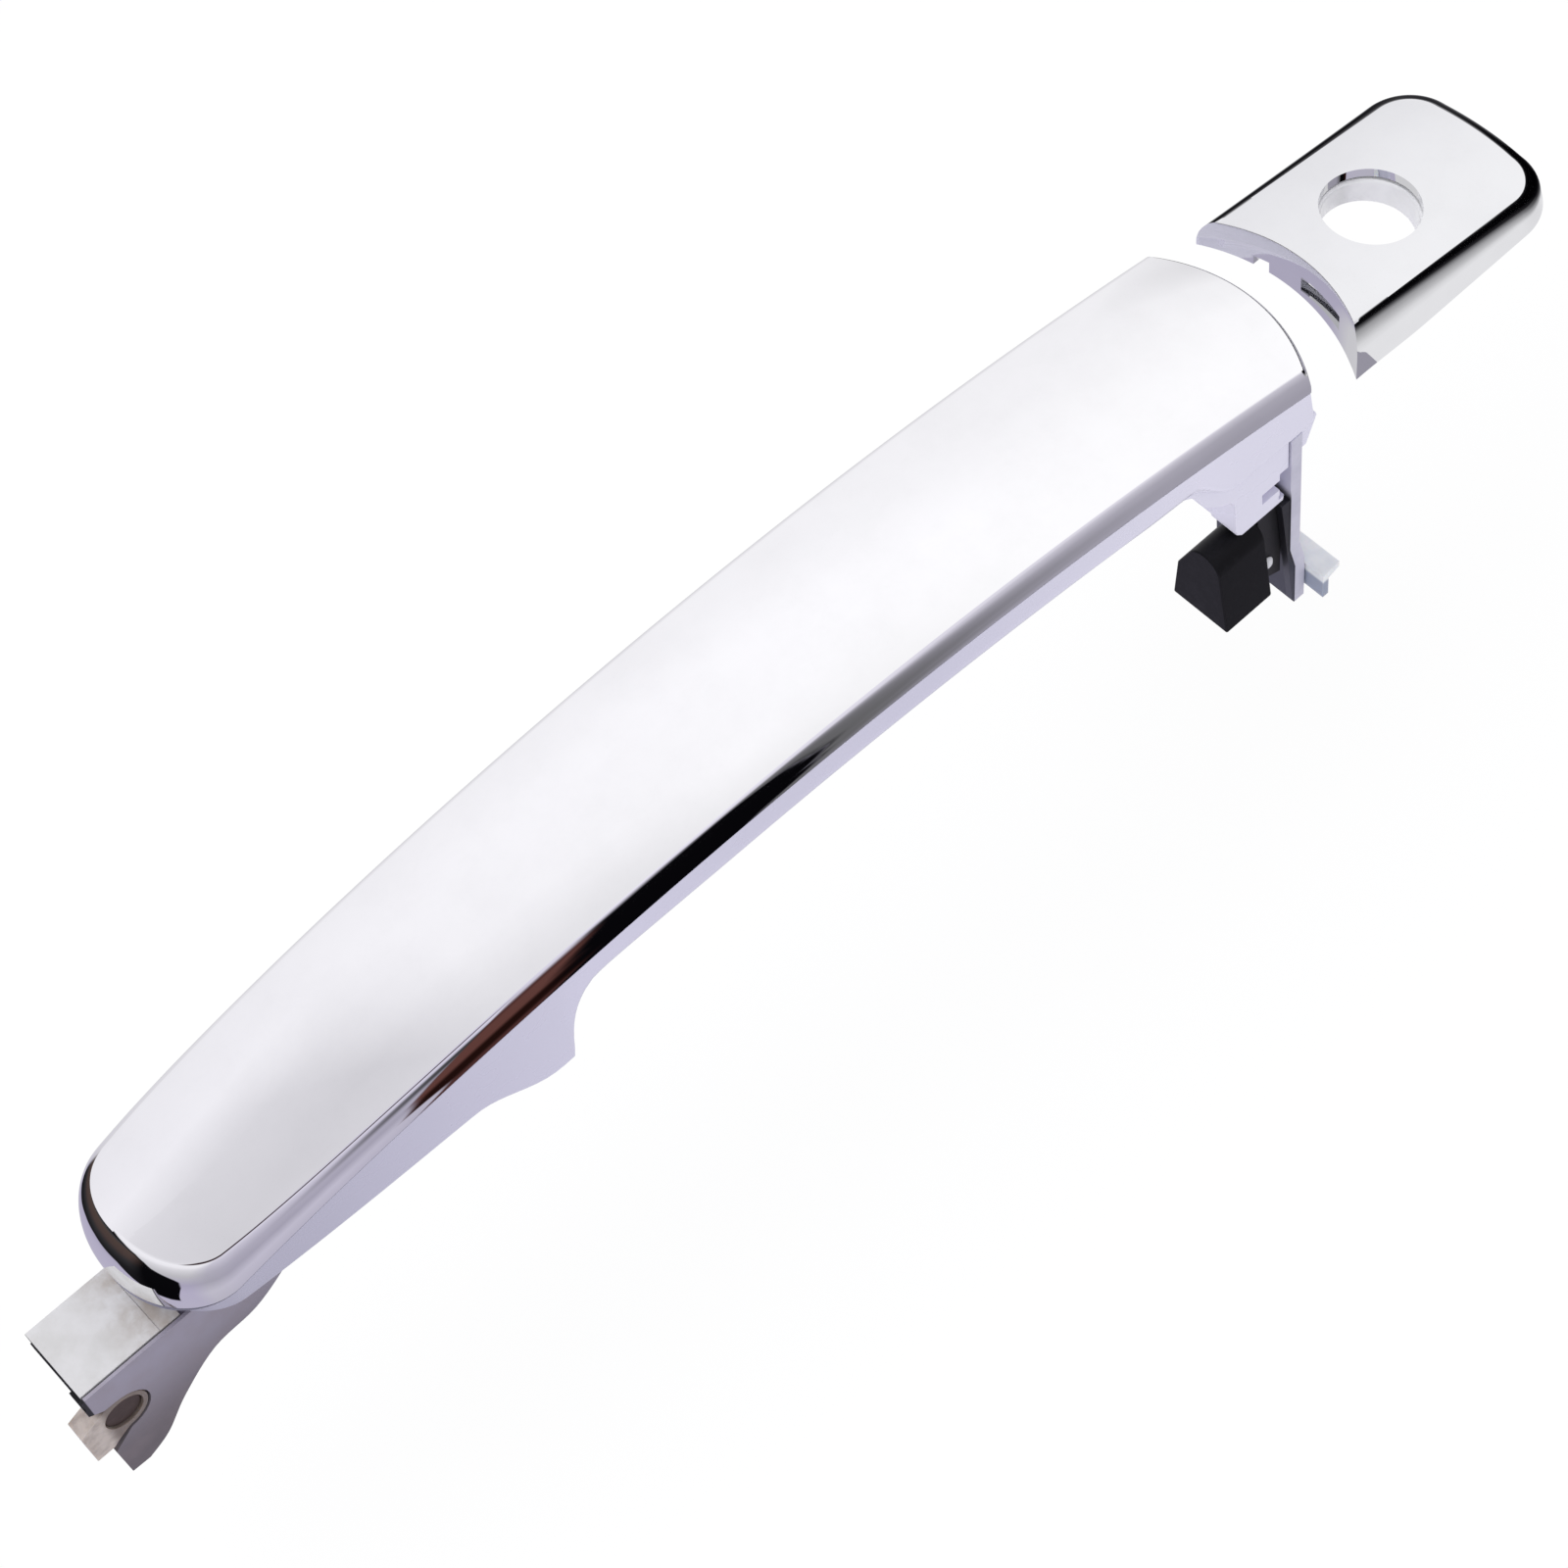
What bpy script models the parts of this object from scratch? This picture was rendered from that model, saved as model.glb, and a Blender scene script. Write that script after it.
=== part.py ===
"""Outside door handle of a car: a chrome grip on a front hinge arm, with a rear pull leg and a separate key cap.

Lengths are millimetres times MM. In the handle's own frame X runs from the nose to the lock end, Y across the
handle and Z outwards from the door, with zero below the nose on the plane of the tongue's top face. The empty
handle_frame moves that frame so that the world's origin is the centre of the tongue's top face.
"""

import math

import bmesh
import bpy
from mathutils import Matrix, Vector

MM = 0.001
GAP = 0.3  # clearance between pieces that only touch in the real handle

# Plan of the grip
NOSE_X = -1.4
NOSE_LENGTH = 11.0
NOSE_POWER = 2.1
NOSE_SKEW = 0.1  # the nose's far side reaches further forward than its near side
LOCK_END_X = 226.9
LOCK_END_RADIUS = 31.1
CORNER_X = 221.1
MIDDLE_X = 115.0

# Side view of the grip
ARCH_RADIUS = 561.7
ARCH_TOP_Z = 27.1
CROWN = 1.5
COVER_WALL = 1.8
GRIP_DEPTH = 13.7
FRONT_PAD_Z = 3.6
REAR_PAD_Z = 1.0
LIP_X = 69.4
LIP_Z = -2.1
INNER_WALL = 2.1
INNER_FLOOR = 2.0

# Hinge
PIN_X = -11.7
PIN_Z = -11.2
PIN_RADIUS = 3.2
BUSH_BORE = 3.28
SLOT_RADIUS = 4.75
ARM_HALF_WIDTH = 7.2
CHEEK_WALL = 4.0

# Tongue
TONGUE_FRONT_X = -15.4
TONGUE_STEP_X = -1.0
TONGUE_THICKNESS = 2.4
TONGUE_CENTRE_X = (TONGUE_FRONT_X + TONGUE_STEP_X) / 2

# Inside the grip
BAR_HALF_WIDTH = 8.0
BAR_BELOW_ARCH = 6.0
COVER_SCREW_FRONT_X = 50.0
COVER_SCREW_REAR_X = 209.0
POST_RADIUS = 3.1
ARM_SCREW_XS = (16.0, 29.0)
LEG_SCREW_X = 215.0
LEG_SCREW_Y = 5.2

# Rear leg
LEG_X = 219.2
LEG_THICKNESS = 2.4
LEG_JOG = 1.3  # the leg's lower end steps outwards to carry the foot
LEG_NEAR_Y = -16.0
LEG_FAR_Y = 10.0
LEG_BOTTOM_Z = -47.0
FOOT_NEAR_Y = -20.0
FOOT_FAR_Y = 4.0
FOOT_PEG_Y = -6.0
FOOT_PEG_Z = -41.8
FOOT_DEPTH = 3.8
BUMPER_X = (202.7, 213.2)
BUMPER_BOTTOM_Z = -35.1
BUMPER_BORE_Y = -11.8
BUMPER_BORE_Z = -26.5
WEB_NEAR_Y = -14.2
WEB_FAR_Y = -9.2
RIVET_X = 215.4
RIVET_Z = -31.4

# Key cap
CAP_FRONT_X = 237.3
CAP_FRONT_RADIUS = 32.0
CAP_END_X = 281.2
CAP_END_RADIUS = 80.0
CAP_HALF_FRONT = 17.4
CAP_HALF_BACK = 17.0
CAP_CORNER = 9.0
CAP_BASE_Z = 5.0
CAP_TOP_Z = 15.2
CAP_SLOPE = math.tan(math.radians(7.0))
CAP_CROWN = 1.1
CAP_WALL = 1.8
FRAME_BASE_Z = 7.0
FRAME_TOP_Z = 8.6
CAP_SCREW_X = 246.2
CAP_SCREW_Y = 11.2
KEY_HOLE_X = 253.8
KEY_HOLE_RADIUS = 8.3

CHROME = ("chrome", (0.80, 0.80, 0.83), 0.06, 1.0)
CHROME_INNER = ("chrome_inner", (0.74, 0.73, 0.80), 0.12, 1.0)
CAST_ARM = ("cast_arm", (0.42, 0.41, 0.45), 0.35, 0.9)
CAST_LEG = ("cast_leg", (0.78, 0.77, 0.84), 0.35, 0.7)
TONGUE_GREY = ("tongue_grey", (0.62, 0.61, 0.62), 0.6, 0.1)
NYLON_BROWN = ("nylon_brown", (0.42, 0.36, 0.34), 0.4, 0.0)
NYLON_WHITE = ("nylon_white", (0.82, 0.84, 0.86), 0.35, 0.0)
PALE_PLASTIC = ("pale_plastic", (0.80, 0.80, 0.83), 0.4, 0.0)
BLACK_PLASTIC = ("black_plastic", (0.02, 0.02, 0.025), 0.5, 0.0)
BLACK_RUBBER = ("black_rubber", (0.015, 0.015, 0.018), 0.7, 0.0)
STEEL = ("steel", (0.55, 0.55, 0.56), 0.3, 1.0)
DARK_STEEL = ("dark_steel", (0.12, 0.10, 0.09), 0.4, 0.8)


# Scene, placing and materials

for old in list(bpy.data.objects):
    bpy.data.objects.remove(old, do_unlink=True)

PARTS = bpy.data.collections.new("car_door_handle")
CUTTERS = bpy.data.collections.new("cutters")
bpy.context.scene.collection.children.link(PARTS)
bpy.context.scene.collection.children.link(CUTTERS)


def new_empty(name, parent, place):
    empty = bpy.data.objects.new(name, None)
    PARTS.objects.link(empty)
    empty.parent = parent
    empty.location = place
    return empty


FRAME = new_empty("handle_frame", None, (-TONGUE_CENTRE_X * MM, 0, 0))
DOOR_SIDE = new_empty("door_side", FRAME, (PIN_X * MM, 0, PIN_Z * MM))
GRIP = new_empty("grip_hinge", FRAME, (PIN_X * MM, 0, PIN_Z * MM))
CAP = new_empty("cap_slide", FRAME, (CAP_FRONT_X * MM, 0, CAP_BASE_Z * MM))


def finish(obj, look, parent):
    """Give a piece its material and hang it from its empty, keeping its place in the handle's frame."""
    name, colour, roughness, metallic = look
    material = bpy.data.materials.get(name)
    if material is None:
        material = bpy.data.materials.new(name)
        material.use_nodes = True
        shader = material.node_tree.nodes["Principled BSDF"]
        shader.inputs["Base Color"].default_value = (*colour, 1.0)
        shader.inputs["Roughness"].default_value = roughness
        shader.inputs["Metallic"].default_value = metallic
    obj.data.materials.clear()
    obj.data.materials.append(material)
    obj.parent = parent
    obj.location = Vector(obj.location) - parent.location
    return obj


def new_object(name, mesh, collection=PARTS):
    obj = bpy.data.objects.new(name, mesh)
    collection.objects.link(obj)
    return obj


def mesh_from(name, bm, collection=PARTS):
    bmesh.ops.recalc_face_normals(bm, faces=bm.faces)
    mesh = bpy.data.meshes.new(name)
    bm.to_mesh(mesh)
    bm.free()
    return new_object(name, mesh, collection)


# Shapes


def box(name, low, high, collection=PARTS):
    bm = bmesh.new()
    bmesh.ops.create_cube(bm, size=1.0)
    size = Vector(high) - Vector(low)
    centre = (Vector(high) + Vector(low)) / 2
    bmesh.ops.scale(bm, vec=size * MM, verts=bm.verts)
    bmesh.ops.translate(bm, vec=centre * MM, verts=bm.verts)
    return mesh_from(name, bm, collection)


def plate(name, outline, axis, low, high, collection=PARTS):
    """A flat outline, extruded along an axis from low to high. Its two numbers run along the other axes in order."""
    curve = bpy.data.curves.new(name, "CURVE")
    curve.dimensions = "2D"
    curve.fill_mode = "BOTH"
    curve.extrude = (high - low) / 2 * MM
    spline = curve.splines.new("POLY")
    spline.points.add(len(outline) - 1)
    for point, (first, second) in zip(spline.points, outline):
        point.co = (first * MM, second * MM, 0, 1)
    spline.use_cyclic_u = True
    guide = new_object(name + "_outline", curve, collection)
    bpy.context.view_layer.update()
    graph = bpy.context.evaluated_depsgraph_get()
    mesh = bpy.data.meshes.new_from_object(guide.evaluated_get(graph))
    bpy.data.objects.remove(guide, do_unlink=True)
    middle = (high + low) / 2 * MM
    turn = {
        "X": Matrix.Translation((middle, 0, 0)) @ Matrix(((0, 0, 1, 0), (1, 0, 0, 0), (0, 1, 0, 0), (0, 0, 0, 1))),
        "Y": Matrix.Translation((0, middle, 0)) @ Matrix.Rotation(math.pi / 2, 4, "X"),
        "Z": Matrix.Translation((0, 0, middle)),
    }[axis]
    bm = bmesh.new()
    bm.from_mesh(mesh)
    bpy.data.meshes.remove(mesh)
    bmesh.ops.remove_doubles(bm, verts=bm.verts, dist=1e-6)
    bmesh.ops.transform(bm, matrix=turn, verts=bm.verts)
    return mesh_from(name, bm, collection)


def rod(name, axis, centre, radius, low, high, collection=PARTS, steps=48):
    """A cylinder along an axis from low to high. The centre's two numbers run along the other axes in order."""
    bm = bmesh.new()
    bmesh.ops.create_cone(
        bm, cap_ends=True, segments=steps, radius1=radius * MM, radius2=radius * MM, depth=(high - low) * MM
    )
    middle = (high + low) / 2
    if axis == "X":
        turn = Matrix.Rotation(math.pi / 2, 4, "Y")
        place = (middle, centre[0], centre[1])
    elif axis == "Y":
        turn = Matrix.Rotation(math.pi / 2, 4, "X")
        place = (centre[0], middle, centre[1])
    else:
        turn = Matrix.Identity(4)
        place = (centre[0], centre[1], middle)
    bmesh.ops.transform(bm, matrix=Matrix.Translation(Vector(place) * MM) @ turn, verts=bm.verts)
    return mesh_from(name, bm, collection)


def turned(name, profile, place, tilt=0.0, steps=20):
    """A body of revolution about Z. The profile runs down its outer side as (radius, height) points."""
    bm = bmesh.new()
    points = [bm.verts.new((radius * MM, 0, height * MM)) for radius, height in profile]
    for first, second in zip(points, points[1:]):
        bm.edges.new((first, second))
    if profile[0][0] > 0:
        bm.edges.new((points[-1], points[0]))
    mesh = bpy.data.meshes.new(name)
    bm.to_mesh(mesh)
    bm.free()
    obj = new_object(name, mesh)
    obj.location = Vector(place) * MM
    obj.rotation_euler = (0, tilt, 0)
    screw = obj.modifiers.new("turn", "SCREW")
    screw.steps = steps
    screw.render_steps = steps
    screw.use_merge_vertices = True
    screw.merge_threshold = 0.00001
    screw.use_normal_calculate = False
    return obj


def combine(obj, other, operation):
    """Add or cut with another solid, which is then only a helper."""
    other.hide_render = True
    other.display_type = "WIRE"
    if other.name not in CUTTERS.objects:
        CUTTERS.objects.link(other)
        PARTS.objects.unlink(other)
    if other.parent is None:
        other.parent = FRAME
    modifier = obj.modifiers.new(other.name, "BOOLEAN")
    modifier.operation = operation
    modifier.solver = "EXACT"
    modifier.object = other
    return obj


def cut(obj, other):
    return combine(obj, other, "DIFFERENCE")


def add(obj, other):
    return combine(obj, other, "UNION")


def soften(obj, width, segments=2):
    bevel = obj.modifiers.new("edges", "BEVEL")
    bevel.width = width * MM
    bevel.segments = segments
    bevel.limit_method = "ANGLE"
    bevel.angle_limit = math.radians(40)
    return obj


def arc(centre_x, centre_z, radius, start, end, steps):
    """Points on a circle from one angle to another, in degrees."""
    angles = [math.radians(start + (end - start) * i / steps) for i in range(steps + 1)]
    return [(centre_x + radius * math.cos(a), centre_z + radius * math.sin(a)) for a in angles]


def smooth_path(points, steps=6):
    """A Catmull-Rom curve through the points."""
    path = []
    ends = [points[0], *points, points[-1]]
    for before, start, end, after in zip(ends, ends[1:], ends[2:], ends[3:]):
        for i in range(steps):
            t = i / steps
            path.append(
                tuple(
                    0.5 * (2 * b + (c - a) * t + (2 * a - 5 * b + 4 * c - d) * t**2 + (3 * b - a - 3 * c + d) * t**3)
                    for a, b, c, d in zip(before, start, end, after)
                )
            )
    return [*path, points[-1]]


def blend(x, start, end):
    """0 before start, 1 after end, and a smooth step between them."""
    t = min(max((x - start) / (end - start), 0.0), 1.0)
    return t * t * (3 - 2 * t)


# The grip's form


def arch_z(x):
    """Height of the top face's edge."""
    return ARCH_TOP_Z - ARCH_RADIUS + math.sqrt(ARCH_RADIUS**2 - (x - MIDDLE_X) ** 2)


def half_width(x):
    return 17.1 + 0.0087 * (x - MIDDLE_X) - 1.95 * math.exp(-x / 20)


def top_z(x, y):
    return arch_z(x) + CROWN * (1 - (y / half_width(x)) ** 2)


def cover_depth(x):
    return 3.9 + 4.6 * math.exp(-(x - NOSE_X) / 14)


def cover_edge(x):
    """Width of the cover's rounded edge, broad round the nose and sharp across the lock end."""
    if x > CORNER_X:
        return 0.9
    return 2.0 + 2.2 * math.exp(-(x - NOSE_X) / 12)


def underside_z(x):
    """The inner half's underside: front pad, lip, finger recess, bar of the grip and rear pad."""
    grip = arch_z(x) - GRIP_DEPTH
    if x < 52:
        return FRONT_PAD_Z
    if x < LIP_X:
        return FRONT_PAD_Z + (LIP_Z - FRONT_PAD_Z) * blend(x, 52, 66)
    if x < 196:
        return grip - (grip - LIP_Z) * math.exp(-(((x - LIP_X) / 1.7) ** 0.9))
    return grip + (REAR_PAD_Z - grip) * blend(x, 196, 207)


def floor_z(x):
    """The inner half's inside floor, a wall's thickness above anything below it."""
    return max(underside_z(x + step) for step in (-2.4, -1.2, 0, 1.2, 2.4)) + INNER_FLOOR


def in_grip(x):
    """1 along the part of the grip that fingers close round, and 0 at the pads."""
    return blend(x, 67, 80) * (1 - blend(x, 194, 207))


def spacing(x):
    if 62 < x < 74:
        return 0.8
    if 190 < x < 209:
        return 2.2
    return 6.0


def grip_outline(fine):
    """One half of the plan, nose to lock end, as (x, y, x of the centre-line point it belongs to)."""
    half = []
    for i in range(9):
        turn = math.radians(90 * i / 8)
        x = NOSE_X + NOSE_LENGTH * (1 - max(math.cos(turn), 0.0) ** (2 / NOSE_POWER))
        half.append((x, half_width(x) * math.sin(turn) ** (2 / NOSE_POWER), 14.0))
    side_start = NOSE_X + NOSE_LENGTH
    x = side_start
    while x < CORNER_X - 6:
        x += spacing(x) if fine else 6.0
        if x < 50:
            centre = 14.0 + (x - side_start) * (50 - 14.0) / (50 - side_start)
        elif x < 170:
            centre = x
        else:
            centre = 170 + (x - 170) * (206 - 170) / (CORNER_X - 170)
        half.append((x, half_width(x), centre))
    corner_y = half_width(CORNER_X)
    corner_turn = math.asin(corner_y / LOCK_END_RADIUS)
    for i in range(8):
        turn = corner_turn * (1 - i / 7)
        y = LOCK_END_RADIUS * math.sin(turn)
        x = LOCK_END_X - LOCK_END_RADIUS * (1 - math.cos(turn))
        half.append((x, y, 206 + 9 * (1 - y / corner_y)))
    return half


def inset(point, depth, share=0.0):
    """A point moved in from the outline by a depth, then by a share of the way to the centre line."""
    x, y, centre = point
    along = centre - x
    length = math.hypot(along, y)
    if length < 1e-6:
        return x, y
    across = abs(y) / length
    reach = depth / max(across, 0.6) if across > 0.6 else depth
    reach = min(reach, length)
    px = x + along / length * reach
    py = y - y / length * reach
    return px + (centre - px) * share, py * (1 - share)


def skewed(px, py):
    """A plan point of the grip, moved forward with the nose's far side."""
    return px - NOSE_SKEW * py * (1 - blend(px, 2, 40)), py


def shell(name, outline, outer, inner):
    """A closed shell from rings: the outer ones run from the rim to the centre line, the inner ones back again.

    Each ring is a function that gives the (x, y, z) of an outline point.
    """
    loop = outline + [(x, -y, centre) for x, y, centre in reversed(outline[1:-1])]
    bm = bmesh.new()
    rings = [[bm.verts.new(Vector(ring(point)) * MM) for point in loop] for ring in (*outer, *inner)]
    count = len(loop)
    for k, (first, second) in enumerate(zip(rings, [*rings[1:], rings[0]])):
        if k == len(outer) - 1:
            continue
        for i in range(count):
            j = (i + 1) % count
            bm.faces.new((first[i], first[j], second[j], second[i]))
    bmesh.ops.remove_doubles(bm, verts=bm.verts, dist=2e-6)
    bmesh.ops.dissolve_degenerate(bm, edges=bm.edges, dist=1e-6)
    return mesh_from(name, bm)


# The grip's pieces


def make_outer_cover():
    def ring(depth_of, drop_of, share=0.0):
        def place(point):
            x = point[0]
            px, py = inset(point, depth_of(x), share)
            return *skewed(px, py), top_z(px, py) - drop_of(x)

        return place

    def rim_depth(x):
        return cover_depth(x) - 0.5

    outer = [ring(lambda x: 0.0, cover_depth)]
    for i in range(6):
        turn = math.radians(18 * i)
        outer.append(
            ring(lambda x, t=turn: cover_edge(x) * (1 - math.cos(t)), lambda x, t=turn: rim_depth(x) * (1 - math.sin(t)))
        )
    for share in (0.35, 0.7, 1.0):
        outer.append(ring(cover_edge, lambda x: 0.0, share))
    inner = []
    for share in (1.0, 0.7, 0.35):
        inner.append(ring(lambda x: COVER_WALL + 0.9 * cover_edge(x), lambda x: COVER_WALL, share))
    for angle in (90, 60, 30, 0):
        turn = math.radians(angle)
        inner.append(
            ring(
                lambda x, t=turn: COVER_WALL + 0.9 * cover_edge(x) * (1 - math.cos(t)),
                lambda x, t=turn: cover_depth(x) - (cover_depth(x) - COVER_WALL) * math.sin(t),
            )
        )
    cover = shell("grip_outer_cover", grip_outline(fine=False), outer, inner)
    for x, bottom in ((COVER_SCREW_FRONT_X, 9.0), (COVER_SCREW_REAR_X, 8.0)):
        add(cover, rod("cover_post", "Z", (x, 0), POST_RADIUS, bottom, top_z(x, 0) - 0.8, CUTTERS, 24))
        cut(cover, rod("cover_post_hole", "Z", (x, 0), 1.6, bottom - 1, bottom + 9, CUTTERS, 24))
    return finish(cover, CHROME, GRIP)


def make_inner_half():
    def rim_z(x):
        return arch_z(x) - cover_depth(x) - GAP

    def draft(x):
        return 1.2 - 0.9 * in_grip(x)

    def lean(x):
        """The lock end's face leans outwards below the parting line."""
        return 3.0 * blend(x, CORNER_X - 4, CORNER_X + 1)

    def round_depth(x):
        return 1.5 + 3.5 * in_grip(x)

    def round_height(x):
        return min(1.5 + 4.5 * in_grip(x), 0.5 * (rim_z(x) - underside_z(x)))

    def side_ring(share):
        def place(point):
            x = point[0]
            px, py = inset(point, 0.1 + draft(x) * share)
            low = underside_z(px) + round_height(x)
            return *skewed(px + lean(x) * share, py), rim_z(x) + (low - rim_z(x)) * share

        return place

    def round_ring(turn, share=0.0):
        def place(point):
            x = point[0]
            px, py = inset(point, 0.1 + draft(x) + round_depth(x) * (1 - math.cos(turn)), share)
            px += lean(x) * (1 - share)
            return *skewed(px, py), underside_z(px) + round_height(x) * (1 - math.sin(turn))

        return place

    def inside_ring(depth, rise, share=0.0):
        def place(point):
            px, py = inset(point, depth, share)
            return *skewed(px, py), min(floor_z(px) + rise, rim_z(point[0]) - 0.5 + rise / 4)

        return place

    def rim_ring(point):
        px, py = inset(point, INNER_WALL)
        return *skewed(px, py), rim_z(point[0])

    outer = [side_ring(0.0), side_ring(0.5), side_ring(1.0)]
    outer += [round_ring(math.radians(angle)) for angle in (30, 60, 90)]
    outer += [round_ring(math.pi / 2, share) for share in (0.4, 1.0)]
    inner = [inside_ring(INNER_WALL + 1.6, 0.0, share) for share in (1.0, 0.4, 0.0)]
    inner += [inside_ring(INNER_WALL, 1.2), rim_ring]
    half = shell("grip_inner_half", grip_outline(fine=True), outer, inner)

    fillet = smooth_path([(195.5, 8.4), (198, 6.3), (200.2, 1.8), (203.5, -1.6), (206.6, -4.4), (207.0, -12.5)], 4)
    boss_outline = [*fillet, (218.6, -12.5), (219.4, -4.4), (222.9, -4.4), (225.2, 1.2), (224.9, 2.1)]
    boss_outline += [(209, 2.1), (204.5, 3.8), (200, 7.3)]
    add(half, plate("rear_boss", boss_outline, "Y", -15.6, 12.4, CUTTERS))
    near_wall = [(207.2, -11), (207.6, -14.2), (208.6, -15.2), (218.2, -15.2), (218.9, -11)]
    add(half, plate("rear_boss_near_wall", near_wall, "Y", -15.4, -9.4, CUTTERS))
    add(half, rod("front_screw_tower", "Z", (COVER_SCREW_FRONT_X, 0), 4.6, 4.2, 7.2, CUTTERS, 32))
    cut(half, box("arm_opening", (5.6, -7.6, 0), (36.5, 7.6, 9.0), CUTTERS))
    slot = (LEG_X - GAP, -9.3, -8.0), (LEG_X + LEG_THICKNESS + GAP + 0.2, 9.4, 7.4)
    cut(half, box("leg_slot", *slot, CUTTERS))
    behind = (LEG_X - GAP, -17, -16), (LEG_X + LEG_THICKNESS + GAP, 14, REAR_PAD_Z - 0.4)
    cut(half, box("leg_clearance", *behind, CUTTERS))
    for corner in (((213, -17, -11), (220, -12.5, -8.4)), ((217, -17, -14), (220, -12.5, -6.7))):
        cut(half, box("boss_notch", *corner, CUTTERS))
    for x, seat, start in ((COVER_SCREW_FRONT_X, 5.4, 0.0), (COVER_SCREW_REAR_X, -8.0, -17.0)):
        cut(half, rod("screw_recess", "Z", (x, 0), 3.3, start, seat, CUTTERS, 32))
        cut(half, rod("screw_passage", "Z", (x, 0), 1.8, seat - 1, 9.0, CUTTERS, 24))
    return finish(half, CHROME_INNER, GRIP)


def make_core_bar():
    upper = [(x, arch_z(x) - BAR_BELOW_ARCH) for x in range(218, 90, -8)]
    upper += [(x, arch_z(x) - BAR_BELOW_ARCH) for x in range(84, 12, -8)]
    lower = [(12, 7.4), (58, 7.4), (64, 8.2), (71, 14.4), (84, 15.4)]
    lower += [(x, arch_z(x) - 10.8) for x in range(92, 200, 9)]
    lower += [(205, 9.0), (210, 7.2), (218, 7.0)]
    bar = plate("core_bar", lower + upper, "Y", -BAR_HALF_WIDTH, BAR_HALF_WIDTH)
    for start in (92, 124, 156):
        low = (start, -5.0, arch_z(start + 14) - 8.6)
        cut(bar, box("bar_pocket", low, (start + 28, 5.0, 30), CUTTERS))
    for x in (COVER_SCREW_FRONT_X, COVER_SCREW_REAR_X):
        cut(bar, rod("bar_post_hole", "Z", (x, 0), POST_RADIUS + 0.5, 0, 30, CUTTERS, 32))
    for x, y in screw_places():
        cut(bar, rod("bar_screw_hole", "Z", (x, y), 1.8, 0, 30, CUTTERS, 24))
        cut(bar, rod("bar_screw_seat", "Z", (x, y), 3.2, screw_seat_z(x), 30, CUTTERS, 24))
    return finish(bar, BLACK_PLASTIC, GRIP)


def screw_places():
    places = [(x, 0.0) for x in ARM_SCREW_XS]
    return places + [(LEG_SCREW_X, -LEG_SCREW_Y), (LEG_SCREW_X, LEG_SCREW_Y)]


def screw_seat_z(x):
    """The bar's counterbored seat under a screw's head."""
    return arch_z(x) - BAR_BELOW_ARCH - 1.6


def make_screw(name, place, seat, length, parent, up=1.0, head=2.7):
    """A pan-head self-tapping screw whose head sits on the seat, on its upper side when up is 1."""
    radius = 1.4
    outline = [(0, 1.7), (head * 0.6, 1.6), (head * 0.92, 1.1), (head, 0.5), (head, 0)]
    outline += [(radius, 0), (radius, 0.8 - length), (radius * 0.35, -length), (0, -length)]
    screw = turned(name, outline, (*place, seat))
    if up < 0:
        screw.rotation_euler = (math.pi, 0, 0)
    recess = box(name + "_cross", (-1.5, -0.35, 0.8), (1.5, 0.35, 2.0), CUTTERS)
    across = box(name + "_across", (-0.35, -1.5, 0.8), (0.35, 1.5, 2.0), CUTTERS)
    for tool in (recess, across):
        tool.location = screw.location
        tool.rotation_euler = screw.rotation_euler
        cut(screw, tool)
    return finish(screw, STEEL, parent)


def make_hinge_arm():
    lower = smooth_path(
        [(30, 3.0), (24, -3.5), (18.6, -8.6), (12, -12.6), (4, -13.8), (-3.3, -19.4), (-8.3, -25.2), (-12.6, -27.7)]
    )
    slot_end = arc(-12.0, -11.2, SLOT_RADIUS, -90, 90, 14)
    cheek = [(6.0, -2.7), (6.0, 5.2), (30, 5.2), *lower, (-15.8, -27.5), (-16.0, -19.1)]
    cheek += [(-14.5, -17.9), *slot_end, (-13.8, -6.4), (-16.0, -4.7), (-16.0, -2.7)]
    arm = plate("front_hinge_arm", cheek, "Y", -ARM_HALF_WIDTH, -ARM_HALF_WIDTH + CHEEK_WALL)
    add(arm, box("arm_lip", (-15.8, -ARM_HALF_WIDTH, -3.5), (6.4, -6.6, -0.05), CUTTERS))
    add(arm, box("arm_flange", (-15.6, -7.0, -4.7), (6.6, 6.9, -2.7), CUTTERS))
    add(arm, box("arm_root", (5.9, -6.8, -4.6), (15.0, 6.0, 5.0), CUTTERS))
    add(arm, box("arm_tail", (6.1, -6.0, 4.3), (35.0, 6.0, 7.1), CUTTERS))
    for x in ARM_SCREW_XS:
        cut(arm, rod("arm_screw_hole", "Z", (x, 0), 1.7, 0.0, 9.0, CUTTERS, 24))
    return finish(arm, CAST_ARM, GRIP)


def make_tongue():
    side = [(TONGUE_FRONT_X, -TONGUE_THICKNESS), (TONGUE_FRONT_X, 0), (TONGUE_STEP_X, 0), (TONGUE_STEP_X, -0.2)]
    side += [(2.6, -0.2), (2.6, -TONGUE_THICKNESS)]
    tongue = plate("front_tongue", side, "Y", -6.3, ARM_HALF_WIDTH)
    return finish(tongue, TONGUE_GREY, GRIP)


def make_hinge_bush():
    slot_end = arc(-12.0, -11.2, SLOT_RADIUS - GAP, -90, 90, 16)
    outline = [*slot_end, (-13.8, -6.8), (-15.4, -7.6), (-18.8, -9.2), (-18.8, -17.9), (-15.7, -17.9), (-14.4, -16.9)]
    bush = plate("hinge_bush", outline, "Y", -7.0, -3.5)
    cut(bush, rod("bush_bore", "Y", (PIN_X, PIN_Z), BUSH_BORE, -9, 0, CUTTERS, 64))
    return finish(bush, NYLON_BROWN, GRIP)


def make_hinge_pin():
    pin = rod("hinge_pin", "Y", (PIN_X, PIN_Z), PIN_RADIUS, -6.6, 2.6, steps=64)
    return finish(pin, DARK_STEEL, DOOR_SIDE)


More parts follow.
